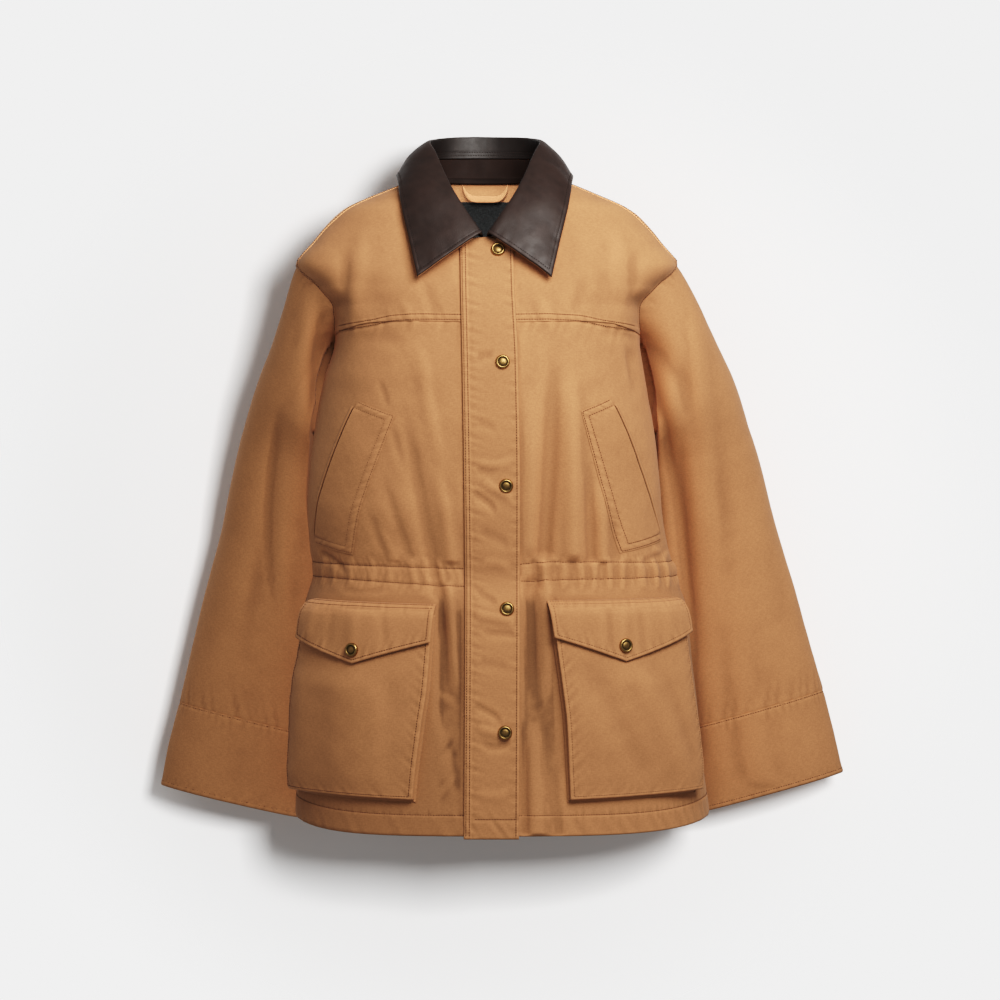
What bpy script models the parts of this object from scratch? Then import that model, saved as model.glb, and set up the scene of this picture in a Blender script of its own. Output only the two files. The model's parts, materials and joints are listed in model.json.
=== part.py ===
"""Barn jacket, filled out with no wearer: the pieces at their real size, each a wall of cloth or leather on one form.

Metres, +Z up, front towards -Y, the wearer's right towards -X. The origin is where the neck and shoulders
hold the jacket up. The tables are in millimetres, and Table turns them into metres.
"""

import math

import bmesh
import bpy
import numpy as np

MM = 0.001

# Driving sizes, in metres.
CANVAS = 1.5 * MM
DOUBLE_CANVAS = 2.0 * MM
LEATHER = 1.4 * MM
SEAM_GAP = 0.8 * MM
LAY_GAP = 0.9 * MM
RING_POWER = 0.86
SHOULDER_POINT = -0.082
ARMPIT = -0.258
SIDE_SEAM = 98.0
HEM_SIDE = -0.672
HEM_FRONT_DROP = 0.016
COLLAR_CENTRE = -0.002
CUFF_SEAM = 0.836
SLEEVE_CLEAR = 5.0 * MM
SLEEVE_COLUMNS = 18
COLLAR_COLUMNS = 24
SNAP_RADIUS = 7.6 * MM
SNAP_HEIGHT = 3.6 * MM


class Table:
    """Rows of sizes with named columns, read on a smooth curve that never overshoots its rows."""

    def __init__(self, columns, rows, plain=("angle", "turn", "along", "share", "wide")):
        names = columns.split()
        values = np.array(rows, float)
        self.place = self.scaled(names[0], values[:, 0], plain)
        self.values = {
            name: self.scaled(name, values[:, i], plain) for i, name in enumerate(names)
        }
        self.slopes = {name: self.tangents(v) for name, v in self.values.items()}

    @staticmethod
    def scaled(name, values, plain):
        return values if name.split("_")[0] in plain else values * MM

    def tangents(self, values):
        step = np.diff(self.place)
        rise = np.diff(values) / step
        slope = np.zeros(len(values))
        slope[0], slope[-1] = rise[0], rise[-1]
        for i in range(1, len(values) - 1):
            before, after = rise[i - 1], rise[i]
            if before * after > 0:
                a, b = 2 * step[i] + step[i - 1], step[i] + 2 * step[i - 1]
                slope[i] = (a + b) / (a / before + b / after)
        return slope

    def at(self, name, place):
        place = np.clip(place, self.place[0], self.place[-1])
        i = np.clip(np.searchsorted(self.place, place, side="right") - 1, 0, len(self.place) - 2)
        step = self.place[i + 1] - self.place[i]
        t = (place - self.place[i]) / step
        v, m = self.values[name], self.slopes[name]
        return (
            (1 + 2 * t) * (1 - t) ** 2 * v[i]
            + t * (1 - t) ** 2 * step * m[i]
            + t * t * (3 - 2 * t) * v[i + 1]
            + t * t * (t - 1) * step * m[i + 1]
        )


# Level rings of the torso, from the hem to the neck.
TORSO = Table(
    "level centre front_half back_half front_depth back_depth",
    (
        (-700, 17, 223, 223, 142, 122),
        (-672, 16, 222, 222, 142, 121),
        (-600, 13, 218, 218, 141, 119),
        (-520, 10, 213, 213, 139, 115),
        (-450, 9, 206, 206, 135, 109),
        (-412, 7, 194, 194, 127, 101),
        (-385, 2, 193, 193, 131, 104),
        (-335, -3, 191, 191, 138, 110),
        (-258, -3, 183, 183, 141, 114),
        (-206, -2, 173, 187, 138, 114),
        (-155, 0, 163, 193, 131, 111),
        (-128, 0, 166, 197, 125, 108),
        (-107, 0, 184, 201, 118, 104),
        (-82, 0, 205, 205, 107, 97),
        (-57, 0, 189, 189, 97, 88),
        (-40, 0, 175, 175, 89, 81),
        (-23, 0, 157, 157, 80, 74),
        (-9, 0, 127, 127, 72, 67),
        (4, 0, 95, 95, 64, 61),
        (14, 0, 68, 68, 58, 56),
    ),
)

# The largest folds of the torso: where each starts and ends, half its width in degrees, and how far it stands out.
FOLDS = (
    # angle, level at the top; angle, level at the foot; half width; height
    (17.5, -0.215, 14.5, -0.405, 4.5, -0.0050),
    (25.5, -0.200, 22.5, -0.405, 4.5, 0.0045),
    (8.5, -0.405, 8.5, -0.590, 2.6, -0.0035),
    (13, -0.405, 12.5, -0.660, 3.0, 0.0020),
    (-25, -0.230, -17.5, -0.405, 5.0, -0.0045),
    (-17, -0.240, -12, -0.405, 4.0, 0.0030),
    (-10.5, -0.405, -10.2, -0.630, 2.8, 0.0025),
    (150, -0.300, 156, -0.670, 8.0, -0.0080),
    (135, -0.320, 138, -0.670, 7.0, 0.0060),
    (-147, -0.280, -153, -0.670, 8.0, -0.0080),
    (-133, -0.330, -136, -0.670, 7.0, 0.0060),
)

# The armhole, round from the shoulder point: angle on the torso of its front and its back edge.
ARMHOLE = Table(
    "turn angle_front angle_back",
    (
        (0, 86, 86),
        (25, 81, 101),
        (45, 77, 116),
        (70, 84, 128),
        (95, 94, 131),
        (125, 100, 126),
        (155, 100, 112),
        (180, 98, 98),
    ),
)

# Where the shoulder seam runs over the shoulder, forward of its ridge.
SHOULDER_SEAM = Table("level angle", ((-82, 86), (-64, 78), (-44, 76), (-23, 72), (14, 68)))

# The neckline on the front, from the middle up to the side of the neck.
NECKLINE = Table("level out", ((-56, 4), (-50, 20), (-40, 37), (-26, 50), (-8, 59), (13, 64)))

# Seam and free edge of the placket.
PLACKET = Table(
    "level seam edge",
    ((-690, -24, 34), (-450, -23, 35), (-320, -24, 35), (-190, -26, 33), (-100, -28, 29), (-40, -29, 28)),
)

# Seam between yoke and front.
YOKE_SEAM = Table("out level", ((0, -148), (60, -146), (95, -147), (125, -152), (175, -158)))

# One sleeve: its outer and inner edge, how far back its middle lies, half its depth, and how much further
# the left sleeve swings out and up.
SLEEVE = Table(
    "along outer_out outer_level inner_out inner_level back depth swing_out swing_in lift",
    (
        (0.00, 203, -82, 181, -258, 16, 50, 0, 0, 0),
        (0.043, 214, -105, 180, -262, 19, 52, 6, 0, 3),
        (0.130, 230, -156, 178, -268, 27, 54, 14, 0, 4),
        (0.225, 249, -207, 175, -280, 41, 53, 18, 1, 5),
        (0.340, 270, -274, 171, -308, 60, 50, 20, 4, 6),
        (0.510, 292, -368, 171, -400, 75, 46, 24, 12, 8),
        (0.737, 325, -500, 184, -538, 80, 41, 28, 17, 11),
        (0.836, 338, -556, 190, -592, 80, 38, 30, 19, 13),
        (1.000, 357.5, -647, 203, -683, 80, 35, 32.5, 21, 14),
    ),
)

# Soft folds of the sleeves: side, start and end as turn and share of the length, half width in degrees, height.
SLEEVE_FOLDS = (
    (1, 103, 0.02, 100, 0.62, 13, 0.0050),
    (1, 128, 0.02, 124, 0.80, 11, -0.0060),
    (-1, 104, 0.05, 100, 0.70, 13, 0.0030),
    (-1, 84, 0.20, 80, 0.75, 11, -0.0025),
    (1, 268, 0.10, 262, 0.60, 16, -0.0060),
    (1, 300, 0.05, 298, 0.55, 15, 0.0050),
    (-1, 264, 0.08, 258, 0.66, 16, -0.0060),
    (-1, 296, 0.05, 300, 0.50, 15, 0.0050),
)

# Half the collar, from the front end to the middle of the back: neck seam, roll line and outer edge.
COLLAR = Table(
    "share neck_out neck_back neck_up roll_out roll_back roll_up edge_out edge_back edge_up bulge",
    (
        (0.00, 3, -94, -55, 3, -109, -52, 71, -122, -99, 3),
        (0.05, 12, -91, -50, 9, -105, -42, 74, -116, -86, 4),
        (0.13, 29, -85, -41, 17, -97, -28, 79, -106, -66, 5),
        (0.23, 43.5, -73, -26, 28, -86, -11, 85, -92, -41, 6),
        (0.32, 53, -60, -9, 36.5, -72, 5, 90, -72, -16, 6),
        (0.42, 58.5, -43, 6, 45, -54, 24, 94, -46, 5, 6),
        (0.50, 63, -24, 15.5, 51, -36, 39, 95.5, -20, 13, 6),
        (0.62, 66, 2, 16.5, 59, -6, 54, 95, 12, 14, 6),
        (0.78, 52, 38, 16.5, 52, 38, 61, 76, 56, 4, 6),
        (0.90, 26, 52.5, 16.5, 28, 58, 65, 42, 76, 0, 6),
        (1.00, 0, 56, 16.5, 0, 65, 66.5, 0, 82, -2, 6),
    ),
)
STAND_SHARE = 0.58

# Corners of the welt pockets on the form: where each welt's long edges start and end.
WELTS = {
    # name: (opening top, opening foot, seam top, seam foot), each angle and level
    "welt_right": ((-45.8, -0.2370), (-69.0, -0.3732), (-31.4, -0.2490), (-48.0, -0.3845)),
    "welt_left": ((45.5, -0.2345), (71.0, -0.3695), (34.4, -0.2455), (47.1, -0.3822)),
}

# The cargo pockets from the mouth down: the inner and outer edge of the face and how far it stands out.
BAGS = {
    "right": Table(
        "along angle_in angle_out level proud",
        (
            (0.00, -15.2, -69, -456, 11),
            (0.16, -15.5, -70, -487, 12),
            (0.37, -16.2, -73, -529, 13),
            (0.60, -18.0, -76, -572, 14),
            (0.86, -20.2, -77, -624, 14),
            (1.00, -21.1, -78, -650, 12),
        ),
    ),
    "left": Table(
        "along angle_in angle_out level proud",
        (
            (0.00, 13.8, 67, -454, 11),
            (0.16, 14.2, 66, -483, 12),
            (0.37, 15.2, 66, -525, 13),
            (0.60, 15.9, 67, -572, 14),
            (0.86, 15.8, 68, -622, 14),
            (1.00, 15.7, 67, -650, 12),
        ),
    ),
}
BAG_FOOT_RISE = 0.007
GUSSET_FLARE = 0.004

# The pocket flaps: angle of each edge and the point, and the levels of the top, the sides and the point.
FLAPS = {
    # side: (inner top, inner foot, point, outer foot, outer top), each angle and level
    "right": ((-14.4, -0.4445), (-15.3, -0.4850), (-40.2, -0.5080), (-69.6, -0.4822), (-67.8, -0.4400)),
    "left": ((12.3, -0.4405), (13.5, -0.4800), (35.4, -0.5055), (67.6, -0.4760), (67.0, -0.4385)),
}
FLAP_RISE = Table("drop proud", ((0, 2.2), (3, 6.5), (6, 11.0), (10, 14.6), (16, 16.8), (26, 17.6), (70, 17.6)))

FLAP_TUCK = {"right": 0.8 * MM, "left": 1.1 * MM}

# Snaps down the placket, and on the flaps: across and level, or angle and level.
SNAPS = (
    ("snap_1", 0.0119, -0.0705),
    ("snap_2", 0.0167, -0.1900),
    ("snap_3", 0.0203, -0.3200),
    ("snap_4", 0.0214, -0.4495),
    ("snap_5", 0.0193, -0.5792),
)
POCKET_SNAPS = (("snap_pocket_right", -39.9, -0.4935), ("snap_pocket_left", 34.4, -0.4898))
SNAP_PROFILE = (
    # out from the axis, up from the base
    (0.00, 0.00),
    (1.00, 0.00),
    (1.00, 0.55),
    (0.80, 1.00),
    (0.60, 0.74),
    (0.00, 0.86),
)


def smoothstep(t):
    t = np.clip(t, 0.0, 1.0)
    return t * t * (3 - 2 * t)


# ---------------------------------------------------------------- the form


def torso_ring(angle, level):
    """The plain form: angle in degrees from the middle of the front, positive to the wearer's left."""
    turn = np.radians(angle)
    s, c = np.sin(turn), np.cos(turn)
    to_back = smoothstep((np.abs(angle) - 100) / 25)
    half = TORSO.at("front_half", level) * (1 - to_back) + TORSO.at("back_half", level) * to_back
    depth = np.where(c >= 0, TORSO.at("front_depth", level), TORSO.at("back_depth", level))
    x = TORSO.at("centre", level) + half * np.sign(s) * np.abs(s) ** RING_POWER
    y = -depth * np.sign(c) * np.abs(c) ** RING_POWER
    return np.stack([x, y, level + 0 * x], axis=-1)


def torso_normal(angle, level):
    across = torso_ring(angle + 1.0, level) - torso_ring(angle - 1.0, level)
    up = torso_ring(angle, level + 0.002) - torso_ring(angle, level - 0.002)
    n = np.cross(across, up)
    return n / np.linalg.norm(n, axis=-1, keepdims=True)


def fold_height(angle, level):
    height = 0 * (angle + level)
    for angle_a, level_a, angle_b, level_b, wide, high in FOLDS:
        t = (level - level_a) / (level_b - level_a)
        middle = angle_a + (angle_b - angle_a) * np.clip(t, 0, 1)
        away = (angle - middle + 180) % 360 - 180
        ends = smoothstep(t / 0.45) * smoothstep((1.12 - t) / 0.22)
        height = height + high * ends * np.exp(-((away / wide) ** 2))
    under_pocket = smoothstep((np.abs(angle) - 12.5) / 3) * smoothstep((80 - np.abs(angle)) / 6)
    under_pocket = under_pocket * smoothstep((-0.428 - level) / 0.014)
    return height * (1 - under_pocket) * smoothstep((np.abs(angle - 1) - 7) / 3)


def torso(angle, level, out=0.0):
    """A point of the draped torso, moved out by a distance."""
    angle, level = np.asarray(angle, float), np.asarray(level, float)
    lift = (fold_height(angle, level) + out)[..., None]
    return torso_ring(angle, level) + torso_normal(angle, level) * lift


def angle_at(x, level):
    """The angle on the front of the torso at a distance from the middle plane."""
    share = (x - TORSO.at("centre", level)) / TORSO.at("front_half", level)
    share = np.clip(share, -1, 1)
    return np.degrees(np.arcsin(np.sign(share) * np.abs(share) ** (1 / RING_POWER)))


def hem_level(angle):
    """The hem hangs lower in front than at the sides."""
    return HEM_SIDE - HEM_FRONT_DROP * smoothstep((np.cos(np.radians(angle)) + 0.1) / 1.1)


def armhole_levels(first, last):
    """The levels of the armhole at every step of the turn, from the lowest one up."""
    turns = np.arange(last, first - 1, -360 / SLEEVE_COLUMNS)
    middle, half = (SHOULDER_POINT + ARMPIT) / 2, (SHOULDER_POINT - ARMPIT) / 2
    levels = middle + half * np.cos(np.radians(turns))
    return list(np.minimum(levels, SHOULDER_POINT - 0.002) + (turns < 1) * 0.0034)


def armhole_turn(level):
    middle, half = (SHOULDER_POINT + ARMPIT) / 2, (SHOULDER_POINT - ARMPIT) / 2
    return np.degrees(np.arccos(np.clip((level - middle) / half, -1, 1)))


def outer_angle(level, face):
    """Where a panel ends at the side: shoulder seam, armhole or side seam. Face is front or back."""
    seam = SIDE_SEAM - (0.4 if face == "front" else 0.0)
    side = np.where(level < ARMPIT + 1e-6, seam, ARMHOLE.at("angle_" + face, armhole_turn(level)))
    return np.where(level > SHOULDER_POINT, SHOULDER_SEAM.at("angle", level), side)


def gap_angle(level, gap=SEAM_GAP):
    """A gap as degrees on the ring at a level."""
    return np.degrees(gap / TORSO.at("front_half", level))


def armhole(side, turn):
    """A point of the armhole edge; turn runs from the shoulder point down the front and up the back."""
    turn = np.asarray(turn, float) % 360
    down = np.where(turn <= 180, turn, 360 - turn)
    middle, half = (SHOULDER_POINT + ARMPIT) / 2, (SHOULDER_POINT - ARMPIT) / 2
    level = middle + half * np.cos(np.radians(down))
    angle = np.where(turn <= 180, ARMHOLE.at("angle_front", down), ARMHOLE.at("angle_back", down))
    return torso_ring(side * angle, level)


def sleeve_ring(side, turn, along):
    """The plain sleeve on one side (-1 right, 1 left)."""
    turn, along = np.asarray(turn, float), np.asarray(along, float)
    lift = SLEEVE.at("lift", along) * (side > 0)
    outer_out = SLEEVE.at("outer_out", along) + SLEEVE.at("swing_out", along) * (side > 0)
    inner_out = SLEEVE.at("inner_out", along) + SLEEVE.at("swing_in", along) * (side > 0)
    outer_level = SLEEVE.at("outer_level", along) + lift
    inner_level = SLEEVE.at("inner_level", along) + 0.3 * lift
    c, s = np.cos(np.radians(turn)), np.sin(np.radians(turn))
    wide = np.sign(c) * np.abs(c) ** 0.92
    deep = np.sign(s) * np.abs(s) ** (0.92 + 0.30 * smoothstep((along - 0.3) / 0.6) * (c > 0))
    x = (outer_out + inner_out) / 2 + (outer_out - inner_out) / 2 * wide
    z = (outer_level + inner_level) / 2 + (outer_level - inner_level) / 2 * wide
    y = SLEEVE.at("back", along) - SLEEVE.at("depth", along) * deep
    ring = np.stack([x, y, z], axis=-1)
    blend = (1 - (1 - np.clip(along / 0.24, 0, 1)) ** 2)[..., None]
    return armhole(side, turn) * (1 - blend) + ring * np.array([side, 1, 1]) * blend


def sleeve(side, turn, along, out=0.0):
    """A point of the draped sleeve, moved out by a distance."""
    turn, along = np.asarray(turn, float), np.asarray(along, float)
    step = 0.004
    across = sleeve_ring(side, turn + 2.0, along) - sleeve_ring(side, turn - 2.0, along)
    down = sleeve_ring(side, turn, along + step) - sleeve_ring(side, turn, along - step)
    n = np.cross(across, down) * side
    n = n / np.maximum(np.linalg.norm(n, axis=-1, keepdims=True), 1e-9)
    height = 0 * (turn + along) + out
    for fold_side, turn_a, along_a, turn_b, along_b, wide, high in SLEEVE_FOLDS:
        t = (along - along_a) / (along_b - along_a)
        middle = turn_a + (turn_b - turn_a) * np.clip(t, 0, 1)
        away = (turn - middle + 180) % 360 - 180
        ends = smoothstep(t / 0.35) * smoothstep((1 - t) / 0.35)
        height = height + (fold_side == side) * high * ends * np.exp(-((away / wide) ** 2))
    point = sleeve_ring(side, turn, along) + n * height[..., None]
    level = np.minimum(point[..., 2], -0.10)
    y = point[..., 1]
    depth = np.where(y < 0, TORSO.at("front_depth", level), TORSO.at("back_depth", level)) + 0.002
    half = np.where(y < 0, TORSO.at("front_half", level), TORSO.at("back_half", level))
    share = np.clip(np.abs(y) / depth, 0, 1) ** (2 / RING_POWER)
    clear = SLEEVE_CLEAR * np.clip(along / 0.025, 0, 1)
    limit = side * TORSO.at("centre", level) + half * (1 - share) ** (RING_POWER / 2) + clear
    limit = np.where((share < 1) & (along > 0.004), limit, 0)
    point[..., 0] = side * np.maximum(side * point[..., 0], limit)
    return point


def collar_line(line, across):
    """A point of the collar's neck, roll or edge line; across runs from -1 at the right front to 1."""
    share = 1 - np.abs(across)
    x = COLLAR_CENTRE + np.sign(across) * COLLAR.at(line + "_out", share)
    return np.stack([x, COLLAR.at(line + "_back", share), COLLAR.at(line + "_up", share)], axis=-1)


def collar_ring(across, way):
    """The collar: way runs from -1 at the neck seam over 0 at the roll to 1 at the outer edge."""
    across, way = np.asarray(across, float), np.asarray(way, float)
    neck, roll, edge = (collar_line(line, across) for line in ("neck", "roll", "edge"))
    chord = edge - roll
    chord = chord / np.linalg.norm(chord, axis=-1, keepdims=True)
    radial = roll - np.array([COLLAR_CENTRE, -0.020, 0])
    radial[..., 2] = 0.02
    lift = radial - (radial * chord).sum(-1, keepdims=True) * chord
    lift = lift / np.linalg.norm(lift, axis=-1, keepdims=True)
    control = (roll + edge) / 2 + lift * 2 * COLLAR.at("bulge", 1 - np.abs(across))[..., None]
    t = np.clip(way, 0, 1)[..., None]
    leaf = roll * (1 - t) ** 2 + control * 2 * t * (1 - t) + edge * t**2
    stand = roll + (neck - roll) * np.clip(-way, 0, 1)[..., None]
    return np.where(way[..., None] > 0, leaf, stand)


# ---------------------------------------------------------------- making solids


def material(name, colour, roughness, metallic=0.0):
    made = bpy.data.materials.new(name)
    made.use_nodes = True
    shader = made.node_tree.nodes["Principled BSDF"]
    shader.inputs["Base Color"].default_value = (*colour, 1.0)
    shader.inputs["Roughness"].default_value = roughness
    shader.inputs["Metallic"].default_value = metallic
    made.diffuse_color = (*colour, 1.0)
    return made


def finish(name, mesh, finish_material, wall=0.0, flip=False):
    """Turns a bmesh sheet into a named object, with a wall on its inner side."""
    if flip:
        bmesh.ops.reverse_faces(mesh, faces=mesh.faces)
    data = bpy.data.meshes.new(name)
    mesh.to_mesh(data)
    mesh.free()
    data.materials.append(finish_material)
    data.shade_smooth()
    made = bpy.data.objects.new(name, data)
    bpy.context.scene.collection.objects.link(made)
    if wall:
        solidify = made.modifiers.new("Wall", "SOLIDIFY")
        solidify.thickness = wall
        solidify.offset = -1
        solidify.use_even_offset = True
        solidify.thickness_clamp = 0.5
    return made


def grid(columns, rows, place, closed=False):
    """A bmesh grid whose corner (u, v) goes to place(u, v)."""
    mesh = bmesh.new()
    bmesh.ops.create_grid(mesh, x_segments=columns, y_segments=rows, size=0.5)
    flat = np.array([v.co for v in mesh.verts]) + 0.5
    placed = place(flat[:, 0], flat[:, 1])
    for vertex, point in zip(mesh.verts, placed):
        vertex.co = point
    if closed:
        bmesh.ops.remove_doubles(mesh, verts=mesh.verts, dist=1e-5)
    return mesh


def facing(mesh, outward):
    """Turns the faces so that the first one looks along outward(its middle)."""
    mesh.normal_update()
    score = sum(f.normal.dot(outward(f.calc_center_median())) * f.calc_area() for f in mesh.faces)
    if score < 0:
        bmesh.ops.reverse_faces(mesh, faces=mesh.faces)
    return mesh


def from_axis(point):
    """Away from the torso's upright middle line."""
    made = point.copy()
    made.z = 0
    return made


# ---------------------------------------------------------------- the pieces


def level_rows(levels):
    """Maps 0..1 evenly onto a list of levels."""
    return lambda v: np.interp(v, np.linspace(0, 1, len(levels)), levels)


def add_back(canvas):
    below = [-0.700, -0.620, -0.540, -0.470, -0.412, -0.370, -0.310]
    levels = np.array(below + armhole_levels(0, 180) + [-0.0685, -0.044, -0.030, -0.015, 0.0, 0.013])
    rows = level_rows(levels)

    def place(u, v):
        level = rows(v)
        limit = outer_angle(level, "back") + gap_angle(level)
        angle = limit + (360 - 2 * limit) * u
        level = level + (hem_level(angle) - levels[0]) * np.clip((ARMPIT - level) / (ARMPIT - levels[0]), 0, 1)
        return torso((angle + 180) % 360 - 180, level)

    mesh = facing(grid(16, len(levels) - 1, place), from_axis)
    return finish("back", mesh, canvas, CANVAS)


def add_front(side, name, inner_x, canvas):
    """A lower front, from the hem to the yoke seam."""
    outer_x = side * 0.17
    seam_turn = 360 / SLEEVE_COLUMNS * 4
    below = [-0.690, -0.630, -0.570, -0.510, -0.460, -0.425, -0.405, -0.380, -0.345, -0.300]
    levels = np.array(below + armhole_levels(seam_turn, 180))
    rows = level_rows(levels)
    columns = level_rows([0, 0.05, 0.085, 0.115, 0.145, 0.19, 0.24, 0.29, 0.34, 0.42, 0.54, 0.68, 0.83, 1])

    def place(u, v):
        u = columns(u)
        level = rows(v)
        top = YOKE_SEAM.at("level", np.abs(inner_x + (outer_x - inner_x) * u)) - SEAM_GAP
        level = level + (top - levels[-1]) * smoothstep((level - ARMPIT) / (levels[-1] - ARMPIT))
        foot = hem_level(side * 98 * u)
        level = level + (foot - levels[0]) * np.clip((ARMPIT - level) / (ARMPIT - levels[0]), 0, 1)
        inner = angle_at(inner_x, level)
        outer = side * (outer_angle(level, "front") - gap_angle(level, 1.6 * SEAM_GAP))
        return torso(inner + (outer - inner) * u, level)

    mesh = facing(grid(13, len(levels) - 1, place), from_axis)
    return finish(name, mesh, canvas, CANVAS)


def add_yoke(side, name, inner_x, canvas):
    """The yoke, from its seam with the front up to the shoulder seam and the neckline."""
    seam_turn = 360 / SLEEVE_COLUMNS * 4
    above = [-0.0685, -0.0572, -0.0555, -0.044, -0.030, -0.015, 0.0, 0.013]
    levels = np.array(armhole_levels(0, seam_turn) + above)
    rows = level_rows(levels)
    outer_x = side * 0.17

    def place(u, v):
        level = rows(v)
        seam = YOKE_SEAM.at("level", np.abs(inner_x + (outer_x - inner_x) * u)) + SEAM_GAP
        level = level + (seam - levels[0]) * smoothstep((SHOULDER_POINT - level) / (SHOULDER_POINT - levels[0]))
        neck_x = side * NECKLINE.at("out", level)
        if side < 0:
            neck_x = np.minimum(neck_x, inner_x)
        start_x = np.where(level > NECKLINE.place[0], neck_x, inner_x)
        inner = angle_at(start_x, level)
        outer = side * (outer_angle(level, "front") - gap_angle(level))
        return torso(inner + (outer - inner) * u, level)

    mesh = facing(grid(8, len(levels) - 1, place), from_axis)
    return finish(name, mesh, canvas, CANVAS)


def add_placket(canvas):
    foot = HEM_SIDE - HEM_FRONT_DROP - 0.002
    rows = level_rows(
        [foot, -0.630, -0.5792, -0.525, -0.480, -0.4495, -0.425, -0.405, -0.380, -0.350, -0.320, -0.280, -0.235]
        + [-0.190, -0.150, -0.115, -0.090, -0.0705, -0.0575]
    )

    def place(u, v):
        level = rows(v)
        seam, edge = PLACKET.at("seam", level), PLACKET.at("edge", level)
        return torso(angle_at(seam + (edge - seam) * u, level), level, DOUBLE_CANVAS + LAY_GAP)

    mesh = facing(grid(4, 18, place), from_axis)
    return finish("placket", mesh, canvas, DOUBLE_CANVAS)


def add_sleeve(side, name, canvas):
    rows = level_rows([0.0056, 0.025, 0.06, 0.11, 0.17, 0.24, 0.33, 0.44, 0.57, 0.70, CUFF_SEAM - 0.0006])
    mesh = grid(SLEEVE_COLUMNS, 10, lambda u, v: sleeve(side, 360 * u, rows(v)), closed=True)
    return finish(name, outward_tube(mesh), canvas, CANVAS)


def add_cuff(side, name, canvas):
    start = CUFF_SEAM + 0.0006
    mesh = grid(SLEEVE_COLUMNS, 2, lambda u, v: sleeve(side, 360 * u, start + (1 - start) * v), closed=True)
    return finish(name, outward_tube(mesh), canvas, DOUBLE_CANVAS)


def outward_tube(mesh):
    """Turns a tube's faces outwards, away from its own middle."""
    mesh.verts.ensure_lookup_table()
    middle = sum((v.co for v in mesh.verts), mesh.verts[0].co * 0) / len(mesh.verts)

    def outward(point):
        arm = point - middle
        arm.z = 0
        return arm

    return facing(mesh, outward)


def away_from_neck(point):
    made = point.copy()
    made.x -= COLLAR_CENTRE
    made.y += 0.02
    made.z = 0.02
    return made


def add_collar_leaf(leather):
    ways = level_rows([-STAND_SHARE + 0.014, -0.25, -0.06, 0.05, 0.16, 0.42, 0.72, 1.0])

    def place(u, v):
        return collar_ring(2 * u - 1, ways(v))

    mesh = grid(COLLAR_COLUMNS, 7, place)
    mesh.normal_update()
    leaf = [f for f in mesh.faces if f.calc_center_median().z < 0.0 and abs(f.calc_center_median().x) > 0.05]
    if sum(f.normal.dot(away_from_neck(f.calc_center_median())) for f in leaf) < 0:
        bmesh.ops.reverse_faces(mesh, faces=mesh.faces)
    return finish("collar_leaf", mesh, leather, LEATHER)


def add_under_collar(canvas):
    """The cloth under the leaf, from just below the roll to just short of the edge."""
    ways = level_rows([0.16, 0.42, 0.72, 0.975])
    drop = LEATHER + 0.0009

    def place(u, v):
        across, way = np.clip(2 * u - 1, -0.988, 0.988), ways(v)
        point = collar_ring(across, way)
        step = collar_ring(across + 0.01, way) - collar_ring(across - 0.01, way)
        down = collar_ring(across, way + 0.02) - collar_ring(across, way - 0.02)
        n = np.cross(step, down)
        n = n / np.linalg.norm(n, axis=-1, keepdims=True)
        toward = point - np.array([COLLAR_CENTRE, -0.02, -0.02])
        n = n * np.sign((n * toward).sum(-1, keepdims=True))
        return point - n * drop

    mesh = facing(grid(COLLAR_COLUMNS, 3, place), away_from_neck)
    return finish("under_collar", mesh, canvas, CANVAS)


def add_collar_stand(leather):
    ways = level_rows([-1.0, -STAND_SHARE - 0.014])
    mesh = facing(grid(COLLAR_COLUMNS, 1, lambda u, v: collar_ring(2 * u - 1, ways(v))), away_from_neck)
    return finish("collar_stand", mesh, leather, LEATHER)


def add_hanger_loop(canvas):
    half, reach, sag = 0.0035, 0.0248, 0.0135

    def place(u, v):
        t = 2 * u - 1
        x = COLLAR_CENTRE + reach * np.sign(t) * np.abs(t) ** 0.8
        z = 0.0065 - sag * (1 - t**4) + (v - 0.5) * 2 * half
        y = 0.0520 - 0.0040 * (1 - t**4)
        return np.stack([x, y, z], axis=-1)

    mesh = grid(10, 1, place)
    facing(mesh, lambda p: p.__class__((0, -1, 0)))
    return finish("hanger_loop", mesh, canvas, 0.002)


def add_neck_label(label):
    inside = -CANVAS - LAY_GAP - 0.0005

    def place(u, v):
        level = -0.050 + 0.042 * v
        x = COLLAR_CENTRE + 0.028 * (2 * u - 1)
        share = np.abs(x) / TORSO.at("back_half", level)
        angle = 180 - np.sign(x) * np.degrees(np.arcsin(share ** (1 / RING_POWER)))
        return torso((angle + 180) % 360 - 180, level, inside)

    mesh = facing(grid(4, 3, place), from_axis)
    return finish("neck_label", mesh, label, 0.0009)


def add_welt(name, canvas):
    open_top, open_foot, seam_top, seam_foot = (np.array(c) for c in WELTS[name])

    def place(u, v):
        u, v = u[:, None], v[:, None]
        corner = (open_foot * (1 - v) + open_top * v) * (1 - u) + (seam_foot * (1 - v) + seam_top * v) * u
        out = CANVAS + LAY_GAP + 0.0008 * (1 - u[:, 0])
        return torso(corner[:, 0], corner[:, 1], out)

    mesh = facing(grid(3, 7, place), from_axis)
    return finish(name, mesh, canvas, CANVAS)


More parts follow.
